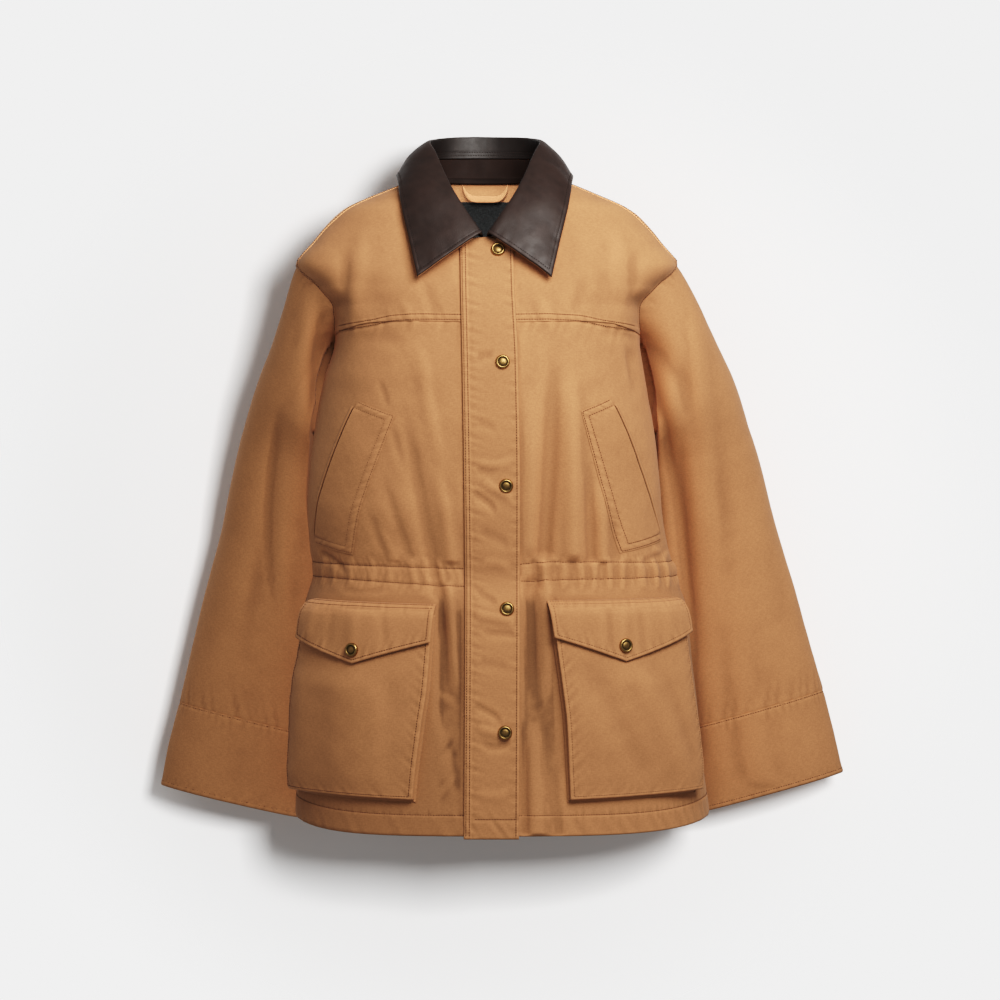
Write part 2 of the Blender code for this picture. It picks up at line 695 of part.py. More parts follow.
def add_bag(side, canvas):
    """A cargo pocket: the face and the gusset walls that carry it back to the front."""
    table = BAGS[side]
    sign = 1 if side == "left" else -1
    name = "pocket_" + side
    columns = [-1.0, 0.0, 0.17, 0.34, 0.5, 0.66, 0.83, 1.0, 2.0]
    rows = [0.0, 0.12, 0.3, 0.5, 0.7, 0.88, 1.0, 2.0]

    def place(u, v):
        across = np.interp(u, np.linspace(0, 1, len(columns)), columns)
        down = np.interp(v, np.linspace(0, 1, len(rows)), rows)
        walled = (across < -0.5) | (across > 1.5) | (down > 1.5)
        share, along = np.clip(across, 0, 1), np.clip(down, 0, 1)
        level = table.at("level", along)
        inner, outer = table.at("angle_in", along), table.at("angle_out", along)
        angle = inner + (outer - inner) * share
        level = level + BAG_FOOT_RISE * share * along - GUSSET_FLARE * (down > 1.5)
        flare = gap_angle(level, GUSSET_FLARE) * 1.2
        angle = angle - sign * flare * (across < -0.5) + sign * flare * (across > 1.5)
        out = np.where(walled, 0.0018, table.at("proud", along))
        return torso(angle, level, out)

    mesh = facing(grid(len(columns) - 1, len(rows) - 1, place), from_axis)
    return finish(name, mesh, canvas, CANVAS)


def add_flap(side, canvas):
    inner_top, inner_foot, point, outer_foot, outer_top = (np.array(c) for c in FLAPS[side])
    name = "flap_" + side
    rows = level_rows([0.0, 0.09, 0.2, 0.4, 0.68, 1.0])

    def place(u, v):
        u, v = u[:, None], rows(v)[:, None]
        top = inner_top + (outer_top - inner_top) * u
        left = inner_foot + (point - inner_foot) * np.clip(u / 0.5, 0, 1)
        foot = np.where(u < 0.5, left, point + (outer_foot - point) * (u - 0.5) / 0.5)
        corner = top + (foot - top) * v
        proud = FLAP_RISE.at("proud", top[:, 1] - corner[:, 1]) - FLAP_TUCK[side]
        return torso(corner[:, 0], corner[:, 1], proud)

    mesh = facing(grid(8, 5, place), from_axis)
    return finish(name, mesh, canvas, DOUBLE_CANVAS)


def add_snap(name, angle, level, out, brass):
    base = torso(np.array(angle), np.array(level), out)
    axis = torso_normal(np.array(float(angle)), np.array(float(level)))
    side = np.cross([0.0, 0.0, 1.0], axis)
    side = side / np.linalg.norm(side)
    up = np.cross(axis, side)
    mesh = bmesh.new()
    rings = []
    for radius, height in SNAP_PROFILE:
        middle = base + axis * height * SNAP_HEIGHT
        turns = np.radians(np.arange(0, 360, 30)) if radius else [0.0]
        rings.append(
            [
                mesh.verts.new(middle + (side * math.cos(t) + up * math.sin(t)) * radius * SNAP_RADIUS)
                for t in turns
            ]
        )
    for low, high in zip(rings, rings[1:]):
        count = max(len(low), len(high))
        for i in range(count):
            corners = [low[i % len(low)], low[(i + 1) % len(low)], high[(i + 1) % len(high)], high[i % len(high)]]
            mesh.faces.new(list(dict.fromkeys(corners)))
    bmesh.ops.recalc_face_normals(mesh, faces=mesh.faces)
    return finish(name, mesh, brass)


def main():
    for old in list(bpy.data.objects):
        bpy.data.objects.remove(old)
    canvas = material("canvas", (0.50, 0.27, 0.12), 0.85)
    leather = material("leather", (0.035, 0.022, 0.018), 0.45)
    label = material("label", (0.014, 0.014, 0.016), 0.8)
    brass = material("brass", (0.30, 0.20, 0.08), 0.38, 0.9)
    add_back(canvas)
    add_front(-1, "front_right", -0.018, canvas)
    add_front(1, "front_left", -0.015, canvas)
    add_yoke(-1, "yoke_right", -0.018, canvas)
    add_yoke(1, "yoke_left", -0.015, canvas)
    add_placket(canvas)
    for side, word in ((-1, "right"), (1, "left")):
        add_sleeve(side, "sleeve_" + word, canvas)
        add_cuff(side, "cuff_" + word, canvas)
        add_welt("welt_" + word, canvas)
        add_bag(word, canvas)
        add_flap(word, canvas)
    add_collar_leaf(leather)
    add_collar_stand(leather)
    add_under_collar(canvas)
    add_hanger_loop(canvas)
    add_neck_label(label)
    for name, x, level in SNAPS:
        add_snap(name, angle_at(np.array(x), np.array(level)), level, DOUBLE_CANVAS + LAY_GAP + 0.0005, brass)
    for name, angle, level in POCKET_SNAPS:
        tuck = FLAP_TUCK["right" if angle < 0 else "left"]
        add_snap(name, angle, level, 0.0180 - tuck, brass)


main()
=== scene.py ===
"""Barn jacket: cloth, leather, snaps and stitching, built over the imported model, with its light and camera.

Metres, +Z up, front towards -Y, the wearer's left towards +X. Tables, seams, ridges and puckers are in
millimetres.
"""

import json
import math
from functools import partial

import bmesh
import bpy
import numpy as np
from mathutils import Matrix, Vector

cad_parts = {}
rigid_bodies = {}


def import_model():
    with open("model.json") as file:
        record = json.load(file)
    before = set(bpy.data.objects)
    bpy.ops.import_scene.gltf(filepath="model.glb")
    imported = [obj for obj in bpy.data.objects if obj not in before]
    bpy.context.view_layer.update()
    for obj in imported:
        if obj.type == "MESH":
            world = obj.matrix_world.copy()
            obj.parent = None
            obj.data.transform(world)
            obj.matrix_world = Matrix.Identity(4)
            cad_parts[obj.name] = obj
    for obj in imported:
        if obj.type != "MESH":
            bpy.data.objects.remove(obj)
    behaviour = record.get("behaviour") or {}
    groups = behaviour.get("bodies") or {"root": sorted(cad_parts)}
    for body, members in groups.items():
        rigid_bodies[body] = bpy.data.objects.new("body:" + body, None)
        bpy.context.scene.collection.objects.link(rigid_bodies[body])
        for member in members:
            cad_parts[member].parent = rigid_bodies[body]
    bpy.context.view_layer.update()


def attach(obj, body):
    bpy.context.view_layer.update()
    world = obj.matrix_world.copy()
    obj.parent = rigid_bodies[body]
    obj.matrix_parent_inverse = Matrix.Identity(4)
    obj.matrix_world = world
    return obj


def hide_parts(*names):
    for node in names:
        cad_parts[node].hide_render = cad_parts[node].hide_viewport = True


bl_info = {
    "name": "Barn jacket",
    "version": (1, 0, 0),
    "blender": (4, 5, 0),
    "location": "3D View > Sidebar > Jacket",
    "description": "Builds a canvas barn jacket with a leather collar over its packed model",
    "category": "Object",
}

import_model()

MM = 0.001
SIDES = ((-1, "right"), (1, "left"))  # the wearer's

# The body. An angle is in degrees from the middle of the front, positive to the wearer's left; a level is
# a height.
RING_POWER = 0.86  # 1 is an ellipse, and less is squarer
SHOULDER_POINT = -0.082
ARMPIT = -0.258
ARMHOLE_MIDDLE, ARMHOLE_HALF = (SHOULDER_POINT + ARMPIT) / 2, (SHOULDER_POINT - ARMPIT) / 2
SIDE_SEAM = 98.0
DEGREE = 3.2 * MM  # about one degree of the body, along the cloth
HEM_SIDE = -0.672
HEM_FRONT_DROP = 0.016
SHOULDER_FILL = 15.0 * MM  # how far the cloth bridges forward between the shoulder point and the chest
INNER_EDGE = {-1: -0.018, 1: -0.015}  # x of the front edge of each front and yoke, under the placket
FRONT_REACH = 0.17  # x that the fronts and yokes span at their seam
PLACKET_OUT = 2.0 * MM
PLACKET_FOOT = HEM_SIDE - HEM_FRONT_DROP - 0.003

# Sleeves and collar.
CUFF_SEAM = 0.836  # share of the sleeve's length
SLEEVE_REACH, SLEEVE_OUTER_REACH = 0.57, 0.60  # metres from top to end, along its middle and its outer side
SLEEVE_CLEAR = 5.0 * MM
COLLAR_CENTRE, NECK_MIDDLE = -0.002, -0.020
STAND_SHARE = 0.58

# Pockets.
BAG_HEIGHT = 0.196
BAG_FOOT_RISE = 0.007
FLAP_WIDTH = 0.140
FLAP_SLANT = 0.90  # how much nearer its slanting foot is than straight down
FLAP_SINK = {-1: 0.3, 1: 0.5}
WELT_WIDTH, WELT_LENGTH = 0.043, 0.152
POCKET_FLAT = 0.72  # the bellows pockets lie flatter than the space they fill
SNAP_RADIUS, SNAP_HEIGHT = 7.6 * MM, 3.4 * MM

# Stitched rows, in millimetres in from each edge.
LAP = 0.50  # how far a lapped seam stands up
HEM_ROW = 22.0
ARMHOLE_ROWS = (1.5, 6.8)
YOKE_ROWS = (1.8, 7.5)
SIDE_ROWS = (1.5, 7.5)
SHOULDER_ROWS = (1.6, 7.0)
PLACKET_SEAM_ROWS, PLACKET_EDGE_ROW, PLACKET_FOOT_ROW = (2.4, 5.9), 3.2, 21.0
CUFF_TOP_ROW, CUFF_FOOT_ROW = 1.8, 4.8
BAG_ROW = 3.4
FLAP_TOP_ROWS, FLAP_ROW = (1.6, 5.2), 3.6
WELT_ROWS = (1.6, 7.6)
LEAF_ROW = 4.8
ROLL_ROWS = (-0.42, -0.49)  # the collar's way, at the top of its stand


class Table:
    """Rows of sizes with named columns, read on a smooth curve that never overshoots its rows."""

    def __init__(self, columns, rows, plain=("angle", "turn", "along", "share")):
        names = columns.split()
        values = np.array(rows, float)
        self.place = self.scaled(names[0], values[:, 0], plain)
        self.values = {name: self.scaled(name, values[:, i], plain) for i, name in enumerate(names)}
        self.slopes = {name: self.tangents(v) for name, v in self.values.items()}

    @staticmethod
    def scaled(name, values, plain):
        return values if name.split("_")[0] in plain else values * MM

    def tangents(self, values):
        step = np.diff(self.place)
        rise = np.diff(values) / step
        slope = np.zeros(len(values))
        slope[0], slope[-1] = rise[0], rise[-1]
        for i in range(1, len(values) - 1):
            before, after = rise[i - 1], rise[i]
            if before * after > 0:
                a, b = 2 * step[i] + step[i - 1], step[i] + 2 * step[i - 1]
                slope[i] = (a + b) / (a / before + b / after)
        return slope

    def at(self, name, place):
        place = np.clip(place, self.place[0], self.place[-1])
        i = np.clip(np.searchsorted(self.place, place, side="right") - 1, 0, len(self.place) - 2)
        step = self.place[i + 1] - self.place[i]
        t = (place - self.place[i]) / step
        v, m = self.values[name], self.slopes[name]
        return (
            (1 + 2 * t) * (1 - t) ** 2 * v[i]
            + t * (1 - t) ** 2 * step * m[i]
            + t * t * (3 - 2 * t) * v[i + 1]
            + t * t * (t - 1) * step * m[i + 1]
        )


# ---------------------------------------------------------------- sizes of the form, as the model has them

TORSO = Table(
    "level centre front_half back_half front_depth back_depth",
    (
        (-700, 17, 223, 223, 142, 122),
        (-672, 16, 222, 222, 142, 121),
        (-600, 13, 218, 218, 141, 119),
        (-520, 10, 213, 213, 139, 115),
        (-450, 9, 206, 206, 135, 109),
        (-412, 7, 194, 194, 127, 101),
        (-385, 2, 193, 193, 131, 104),
        (-335, -3, 191, 191, 138, 110),
        (-258, -3, 183, 183, 141, 114),
        (-206, -2, 173, 187, 138, 114),
        (-155, 0, 163, 193, 131, 111),
        (-128, 0, 166, 197, 125, 108),
        (-107, 0, 184, 201, 118, 104),
        (-82, 0, 205, 205, 107, 97),
        (-57, 0, 189, 189, 97, 88),
        (-40, 0, 175, 175, 89, 81),
        (-23, 0, 157, 157, 80, 74),
        (-9, 0, 127, 127, 72, 67),
        (4, 0, 95, 95, 64, 61),
        (14, 0, 68, 68, 58, 56),
    ),
)
ARMHOLE = Table(
    "turn angle_front angle_back",
    (
        (0, 86, 86),
        (25, 81, 101),
        (45, 77, 116),
        (70, 84, 128),
        (95, 94, 131),
        (125, 100, 126),
        (155, 100, 112),
        (180, 98, 98),
    ),
)
SHOULDER_SEAM = Table("level angle", ((-82, 86), (-64, 78), (-44, 76), (-23, 72), (14, 68)))
NECKLINE = Table("level out", ((-56, 4), (-50, 20), (-40, 37), (-26, 50), (-8, 59), (13, 64)))
PLACKET = Table(
    "level seam edge",
    ((-690, -24, 34), (-450, -23, 35), (-320, -24, 35), (-190, -26, 33), (-100, -28, 29), (-40, -29, 28)),
)
YOKE_SEAM = Table("out level", ((0, -148), (60, -146), (95, -147), (125, -152), (175, -158)))
SLEEVE = Table(
    "along outer_out outer_level inner_out inner_level back depth swing_out swing_in lift",
    (
        (0.00, 203, -82, 181, -258, 16, 50, 0, 0, 0),
        (0.043, 214, -105, 180, -262, 19, 52, 6, 0, 3),
        (0.130, 230, -156, 178, -268, 27, 54, 14, 0, 4),
        (0.225, 249, -207, 175, -280, 41, 53, 18, 1, 5),
        (0.340, 270, -274, 171, -308, 60, 50, 20, 4, 6),
        (0.510, 292, -368, 171, -400, 75, 46, 24, 12, 8),
        (0.737, 325, -500, 184, -538, 80, 41, 28, 17, 11),
        (0.836, 338, -556, 190, -592, 80, 38, 30, 19, 13),
        (1.000, 357.5, -647, 203, -683, 80, 35, 32.5, 21, 14),
    ),
)
COLLAR = Table(
    "share neck_out neck_back neck_up roll_out roll_back roll_up edge_out edge_back edge_up bulge",
    (
        (0.00, 3, -94, -55, 3, -109, -52, 71, -122, -99, 3),
        (0.05, 12, -91, -50, 9, -105, -42, 74, -116, -86, 4),
        (0.13, 29, -85, -41, 17, -97, -28, 79, -106, -66, 5),
        (0.23, 43.5, -73, -26, 28, -86, -11, 85, -92, -41, 6),
        (0.32, 53, -60, -9, 36.5, -72, 5, 90, -72, -16, 6),
        (0.42, 58.5, -43, 6, 45, -54, 24, 94, -46, 5, 6),
        (0.50, 63, -24, 15.5, 51, -36, 39, 95.5, -20, 13, 6),
        (0.62, 66, 2, 16.5, 59, -6, 54, 95, 12, 14, 6),
        (0.78, 52, 38, 16.5, 52, 38, 61, 76, 56, 4, 6),
        (0.90, 26, 52.5, 16.5, 28, 58, 65, 42, 76, 0, 6),
        (1.00, 0, 56, 16.5, 0, 65, 66.5, 0, 82, -2, 6),
    ),
)
BAGS = {
    1: Table(
        "along angle_in angle_out level proud",
        (
            (0.00, 13.8, 67, -454, 11),
            (0.16, 14.2, 66, -483, 12),
            (0.37, 15.2, 66, -525, 13),
            (0.60, 15.9, 67, -572, 14),
            (0.86, 15.8, 68, -622, 14),
            (1.00, 15.7, 67, -650, 12),
        ),
    ),
    -1: Table(
        "along angle_in angle_out level proud",
        (
            (0.00, -15.2, -69, -456, 11),
            (0.16, -15.5, -70, -487, 12),
            (0.37, -16.2, -73, -529, 13),
            (0.60, -18.0, -76, -572, 14),
            (0.86, -20.2, -77, -624, 14),
            (1.00, -21.1, -78, -650, 12),
        ),
    ),
}
FLAPS = {
    # inner top, inner foot, point, outer foot, outer top: each an angle and a level
    -1: ((-14.4, -0.4445), (-15.3, -0.4850), (-40.2, -0.5080), (-69.6, -0.4822), (-67.8, -0.4400)),
    1: ((12.3, -0.4405), (13.5, -0.4800), (35.4, -0.5055), (67.6, -0.4760), (67.0, -0.4385)),
}
FLAP_RISE = Table(
    "drop proud", ((0, 2.2), (3, 6.5), (6, 11.0), (10, 14.6), (16, 16.8), (26, 17.6), (70, 17.6))
)
WELTS = {
    # outer corners of the stitched frame: opening top, opening foot, inner top, inner foot
    -1: ((-45.6, -0.2295), (-71.0, -0.3810), (-27.5, -0.2455), (-45.4, -0.3930)),
    1: ((45.3, -0.2270), (73.0, -0.3780), (30.9, -0.2410), (42.7, -0.3910)),
}
SNAPS = (
    ("snap_1", 0.0119, -0.0705),
    ("snap_2", 0.0167, -0.1900),
    ("snap_3", 0.0203, -0.3200),
    ("snap_4", 0.0214, -0.4495),
    ("snap_5", 0.0193, -0.5792),
)
POCKET_SNAPS = (
    # side, angle, level, and place on the flap as shares across and down
    ("snap_pocket_right", -1, -39.9, -0.4935, 0.5, 0.0513 / 0.0658),
    ("snap_pocket_left", 1, 34.4, -0.4898, 0.5 - 0.5 / 22, 0.0502 / 0.0659),
)
CASING = Table(
    "angle top foot",
    (
        (-180, -401, -418),
        (-100, -400, -416),
        (-66, -402, -417),
        (-28, -405, -422),
        (-6, -407, -425.5),
        (6, -402.5, -420),
        (18, -400, -419),
        (62, -401, -417),
        (100, -400, -416),
        (180, -401, -418),
    ),
)

# ---------------------------------------------------------------- creases, laid one by one

# Upright creases of the fronts: x and z of the top, x of the middle, x and z of the foot, half width on the
# wearer's right and left of it, height, and the share of the length over which each end fades.
FRONT_CREASES = (
    (70, -161, 68, 61, -404, 10, 9, -8, 0.6, 0.06),
    (89, -177, 90, 91, -404, 9, 10, 6.4, 0.5, 0.06),
    (107, -287, 109, 111, -404, 6, 7, -4.8, 0.5, 0.06),
    (119, -309, 121, 123, -404, 6, 6, 4, 0.5, 0.06),
    (134, -340, 136, 138, -401, 5, 6, -1.9, 0.5, 0.1),
    (46, -203, 47, 45, -401, 8, 9, 3.5, 0.5, 0.1),
    (149, -161, 155, 161, -230, 5, 8, -2.6, 0.3, 0.5),
    (47, -411, 47, 49, -550, 7, 7, -5.6, 0.12, 0.4),
    (63, -414, 63, 62, -566, 6, 6, 3.1, 0.1, 0.4),
    (34, -561, 37, 39, -687, 5, 6, -4.4, 0.3, 0.02),
    (50, -561, 51, 52, -687, 8, 9, 3.1, 0.3, 0.02),
    (69, -608, 73, 77, -687, 6, 5, -1.9, 0.4, 0.02),
    (-69, -161, -59, -42, -314, 8, 8, 1.6, 0.3, 0.4),
    (-87, -224, -71, -52, -424, 9, 9, -2.7, 0.4, 0.05),
    (-55, -287, -43, -36, -404, 8, 8, 2.7, 0.5, 0.06),
    (-100, -245, -93, -83, -314, 5, 5, -1, 0.4, 0.5),
    (-109, -303, -95, -79, -401, 7, 7, -1.4, 0.4, 0.1),
    (-114, -356, -106, -95, -401, 6, 6, 1.1, 0.5, 0.1),
    (-127, -335, -116, -102, -398, 6, 6, -1, 0.5, 0.2),
    (-112, -203, -108, -102, -240, 4, 4, -0.8, 0.4, 0.4),
    (-39, -419, -36, -32, -550, 6, 5, 3, 0.1, 0.4),
    (-51, -414, -50, -48, -493, 7, 7, -3.5, 0.15, 0.35),
    (-36, -582, -33, -30, -650, 5, 5, -1, 0.3, 0.3),
    (-52, -545, -49, -45, -640, 8, 8, 1.5, 0.4, 0.3),
    (-65, -482, -66, -68, -608, 6, 7, -0.9, 0.3, 0.3),
    (-149, -61, -151, -154, -156, 8, 7, -2, 0.3, 0.3),
    (-131, -35, -135, -142, -156, 10, 12, 2.2, 0.3, 0.4),
    (157, -61, 155, 153, -145, 7, 8, -2, 0.3, 0.3),
    (138, -35, 137, 132, -135, 12, 10, 1.8, 0.3, 0.4),
    (-91, -114, -81, -72, -161, 7, 8, 1, 0.4, 0.4),
    (-65, -93, -57, -44, -156, 7, 8, -1.2, 0.4, 0.4),
    (103, -93, 98, 88, -145, 8, 8, -1, 0.4, 0.4),
    (56, -114, 65, 73, -166, 8, 8, 1.2, 0.4, 0.4),
)
# Level creases of the fronts and then of the placket: x and z of one end, z of the middle, x and z of the
# other end, half width above and below, and the rest as before.
FRONT_LEVEL_CREASES = (
    (-180, -389, -399, -144, -414, 4, 5, -2, 0.2, 0.4),
    (-156, -429, -432, -100, -427, 4, 5, -1, 0.3, 0.3),
    (-66, -535, -541, -29, -547, 6, 7, 0.6, 0.3, 0.3),
    (-66, -614, -600, -30, -582, 7, 7, -0.6, 0.3, 0.3),
    (-66, -645, -640, -30, -621, 5, 5, 0.5, 0.3, 0.3),
    (174, -385, -391, 199, -394, 5, 5, 1.6, 0.3, 0.3),
    (161, -400, -396, 195, -386, 4, 5, -1.6, 0.3, 0.3),
    (-144, -164, -162, -81, -169, 8, 8, -0.8, 0.3, 0.3),
    (119, -156, -157, 161, -164, 5, 7, -1.4, 0.3, 0.2),
)
PLACKET_CREASES = (
    (-16, -327, -335, 13, -347, 4, 5, -1.8, 0.25, 0.3),
    (-7, -316, -324, 31, -335, 6, 5, 1.6, 0.3, 0.3),
    (-14, -455, -458, 31, -463, 6, 5, 1.6, 0.15, 0.15),
    (-7, -472, -475, 31, -475, 4, 4, -1, 0.3, 0.2),
    (-15, -550, -557, 19, -569, 4, 4, -1.6, 0.25, 0.3),
    (-11, -574, -579, 31, -585, 6, 5, 1.6, 0.2, 0.2),
    (-7, -589, -594, 27, -588, 4, 4, -1.4, 0.3, 0.3),
    (-13, -184, -183, 10, -181, 5, 5, -1, 0.3, 0.4),
    (-15, -293, -297, 31, -291, 5, 5, 1, 0.3, 0.3),
    (-13, -301, -305, 14, -303, 4, 4, -1, 0.3, 0.4),
    (-11, -366, -373, 27, -382, 7, 7, -0.9, 0.3, 0.3),
    (-9, -401, -400, 29, -406, 6, 6, 1, 0.3, 0.3),
    (-13, -429, -437, 14, -443, 5, 5, -1, 0.3, 0.3),
    (-14, -251, -255, 14, -261, 5, 5, -0.7, 0.3, 0.4),
    (-13, -503, -507, 27, -512, 6, 6, -0.7, 0.3, 0.3),
    (-13, -640, -644, 27, -640, 6, 6, 0.8, 0.3, 0.3),
)
# Gathers that the drawn waist makes in front.
GATHERS = (
    (59, -392, 61, 63, -432, 3, 3.4, 4.1, 0.35, 0.35),
    (80, -392, 81, 80, -432, 3, 3.4, 3.2, 0.35, 0.35),
    (97, -392, 99, 100, -432, 3, 3.4, 3.5, 0.35, 0.35),
    (113, -392, 113, 114, -432, 2.6, 3, 2.9, 0.35, 0.35),
    (128, -392, 129, 131, -432, 3, 3.4, 3.5, 0.35, 0.35),
    (144, -392, 143, 144, -432, 2.6, 3, 3.2, 0.35, 0.35),
    (162, -392, 163, 167, -432, 3.8, 4.2, 2.9, 0.35, 0.35),
    (177, -392, 179, 183, -432, 2.6, 3, 3.8, 0.35, 0.35),
    (189, -392, 191, 195, -432, 2.4, 2.7, 4.3, 0.35, 0.35),
    (200, -392, 202, 207, -432, 2.2, 2.5, 4.3, 0.35, 0.35),
    (50, -392, 51, 53, -432, 3, 3.4, -3.5, 0.35, 0.35),
    (-173, -389, -174, -177, -432, 2.6, 3, 1.4, 0.35, 0.35),
    (-162, -392, -162, -164, -432, 3, 3.4, 1.1, 0.35, 0.35),
    (-144, -392, -144, -145, -432, 3.8, 4.2, 1.2, 0.35, 0.35),
    (-122, -392, -121, -121, -432, 3.8, 4.2, 0.9, 0.35, 0.35),
    (-101, -392, -101, -100, -432, 3.8, 4.2, 1, 0.35, 0.35),
    (-79, -392, -77, -75, -432, 3.4, 3.8, 1.5, 0.35, 0.35),
    (-66, -392, -63, -60, -432, 3, 3.4, 1.9, 0.35, 0.35),
    (-52, -392, -48, -45, -432, 3, 3.4, 1.5, 0.35, 0.35),
)
# Creases on the front of both sleeves, as they are for the fronts.
SLEEVE_CREASES = (
    (-221, -221, -239, -228, -464, 4, 6, -1.6, 0.3, 0.3),
    (-211, -227, -224, -217, -486, 8, 8, 1.6, 0.3, 0.3),
    (-191, -103, -195, -202, -248, 10, 8, 2.5, 0.3, 0.5),
    (-175, -119, -183, -189, -270, 8, 10, -4, 0.2, 0.4),
    (-294, -356, -305, -314, -540, 16, 16, -1.5, 0.4, 0.3),
    (211, -151, 215, 230, -648, 11, 11, -5, 0.2, 0.1),
    (219, -108, 237, 247, -464, 8, 12, 3, 0.2, 0.5),
    (271, -443, 280, 303, -648, 14, 16, 1.2, 0.5, 0.05),
    (254, -454, 266, 279, -648, 12, 10, -0.8, 0.4, 0.1),
    (306, -302, 319, 329, -529, 14, 12, -1.2, 0.4, 0.4),
)
# Upright creases of the back, as they are for the fronts.
BACK_CREASES = (
    (-120, -150, -105, -70, -398, 14, 14, -4, 0.5, 0.1),
    (-150, -200, -150, -130, -398, 10, 12, 3.6, 0.4, 0.1),
    (-60, -200, -45, -30, -398, 12, 12, 3, 0.5, 0.1),
    (-20, -260, -12, -5, -398, 9, 9, -2.5, 0.5, 0.1),
    (30, -240, 35, 45, -398, 10, 10, 2.6, 0.5, 0.1),
    (60, -220, 70, 88, -398, 11, 11, -4, 0.5, 0.1),
    (110, -150, 120, 128, -398, 12, 12, 3.4, 0.5, 0.1),
    (150, -180, 158, 165, -398, 9, 10, -3, 0.4, 0.2),
    (-150, -424, -160, -170, -672, 12, 12, -4, 0.2, 0.03),
    (-115, -424, -120, -128, -672, 12, 12, 3.6, 0.2, 0.03),
    (-70, -424, -78, -80, -672, 11, 12, -4, 0.2, 0.03),
    (-30, -424, -34, -40, -672, 11, 11, 3, 0.2, 0.03),
    (10, -424, 12, 15, -672, 10, 11, -3.6, 0.2, 0.03),
    (52, -424, 60, 66, -672, 12, 12, 3.4, 0.2, 0.03),
    (98, -424, 106, 118, -672, 12, 13, -4, 0.2, 0.03),
    (140, -424, 150, 160, -672, 12, 12, 3.2, 0.2, 0.03),
)
# The model's own broad folds, in degrees and metres. For the back: angle and level of both ends, half width
# and height. For the sleeves: side, turn and share along of both ends, half width and height.
BACK_FOLDS = (
    (150, -0.300, 156, -0.670, 8.0, -0.0080),
    (135, -0.320, 138, -0.670, 7.0, 0.0060),
    (-147, -0.280, -153, -0.670, 8.0, -0.0080),
    (-133, -0.330, -136, -0.670, 7.0, 0.0060),
)
SLEEVE_FOLDS = (
    (1, 103, 0.02, 100, 0.62, 13, 0.0050),
    (1, 128, 0.02, 124, 0.80, 11, -0.0060),
    (-1, 104, 0.05, 100, 0.70, 13, 0.0030),
    (-1, 84, 0.20, 80, 0.75, 11, -0.0025),
    (1, 268, 0.10, 262, 0.60, 16, -0.0060),
    (1, 300, 0.05, 298, 0.55, 15, 0.0050),
    (-1, 264, 0.08, 258, 0.66, 16, -0.0060),
    (-1, 296, 0.05, 300, 0.50, 15, 0.0050),
)
# Soft creases of the pocket bags and flaps: shares across and down of both ends, half width as a share, and
# height.
BAG_CREASES = {
    1: (
        (0.08, 0.10, 0.52, 0.98, 0.10, -2.4),
        (0.36, 0.02, 0.78, 0.95, 0.11, 2.6),
        (0.70, 0.30, 0.90, 0.90, 0.07, -1.0),
    ),
    -1: (
        (0.62, 0.05, 0.40, 0.95, 0.16, 1.6),
        (0.18, 0.25, 0.10, 0.85, 0.08, -1.2),
        (0.90, 0.10, 0.80, 0.80, 0.09, 1.2),
    ),
}
FLAP_CREASES = {
    1: (
        (0.34, 0.12, 0.37, 0.90, 0.03, -1.0),
        (0.44, 0.12, 0.45, 0.90, 0.04, 1.0),
        (0.56, 0.20, 0.60, 0.90, 0.03, -0.7),
        (0.76, 0.15, 0.78, 0.90, 0.05, 0.8),
    ),
    -1: (
        (0.30, 0.12, 0.26, 0.90, 0.03, -0.7),
        (0.48, 0.12, 0.50, 0.90, 0.05, 0.9),
        (0.66, 0.15, 0.68, 0.90, 0.04, -0.7),
        (0.82, 0.12, 0.86, 0.90, 0.05, 1.0),
    ),
}

# ---------------------------------------------------------------- soft steps, ridges and creases


def smoothstep(t):
    t = np.clip(t, 0.0, 1.0)
    return t * t * (3 - 2 * t)


def bump(away, wide):
    return np.exp(-((away / wide) ** 2))


def ridge(away, row, wide, high):
    """A soft ridge along a row, or a groove where its height is below 0."""
    return high * MM * bump(away - row * MM, wide * MM)


def raised(away, wide, fade, high):
    """A band raised along an edge, with a soft inner side."""
    return high * MM * smoothstep((wide * MM - away) / (fade * MM))


def turned_in(away, deep, reach=2.0):
    """How an edge turns in over its last few millimetres."""
    return -deep * MM * (1 - smoothstep(away / (reach * MM)))


def seam(away, rows, wide, high, roll=0.5):
    """Section of a lapped or turned edge: away is in from the edge, rows are its stitched lines."""
    pinch = sum(ridge(away, row, 1.2, -0.40) for row in rows)
    return raised(away, wide + 1.6, 3.2, high) + turned_in(away, roll, 1.4) + pinch


def pucker(run, away, pitch, reach, high, lean=0.0, seed=0):
    """Small uneven waves along a stitched line: run is along it and away is across it."""
    phase = (run + lean * away) * 2 * np.pi / (pitch * MM)
    wave = np.sin(phase + seed) + 0.7 * np.sin(0.63 * phase + 1.7 * seed + 1)
    wave = wave + 0.5 * np.sin(1.41 * phase + 2.3 * seed + 2)
    return high * 0.55 * MM * wave * np.exp(-np.abs(away / (reach * MM)) ** 1.5)


def unit(v):
    return v / np.maximum(np.linalg.norm(v, axis=-1, keepdims=True), 1e-9)


def half_turned(angle):
    """The same angle, between -180 and 180 degrees."""
    return (angle + 180) % 360 - 180


def waves(seed, reach, count=28):
    """A soft random field whose swells are about reach across, the same each run."""
    draw = np.random.default_rng(seed)
    ways = unit(draw.normal(size=(count, 3))) * (2 * np.pi / reach * draw.uniform(0.6, 1.5, (count, 1)))
    return ways, draw.uniform(0, 2 * np.pi, count)


BROAD, MIDDLE, FINE = waves(3, 0.085), waves(5, 0.034), waves(8, 0.012)


def swell(field, point):
    ways, phases = field
    return np.sin(point @ ways.T + phases).sum(-1) / math.sqrt(len(phases) / 2)


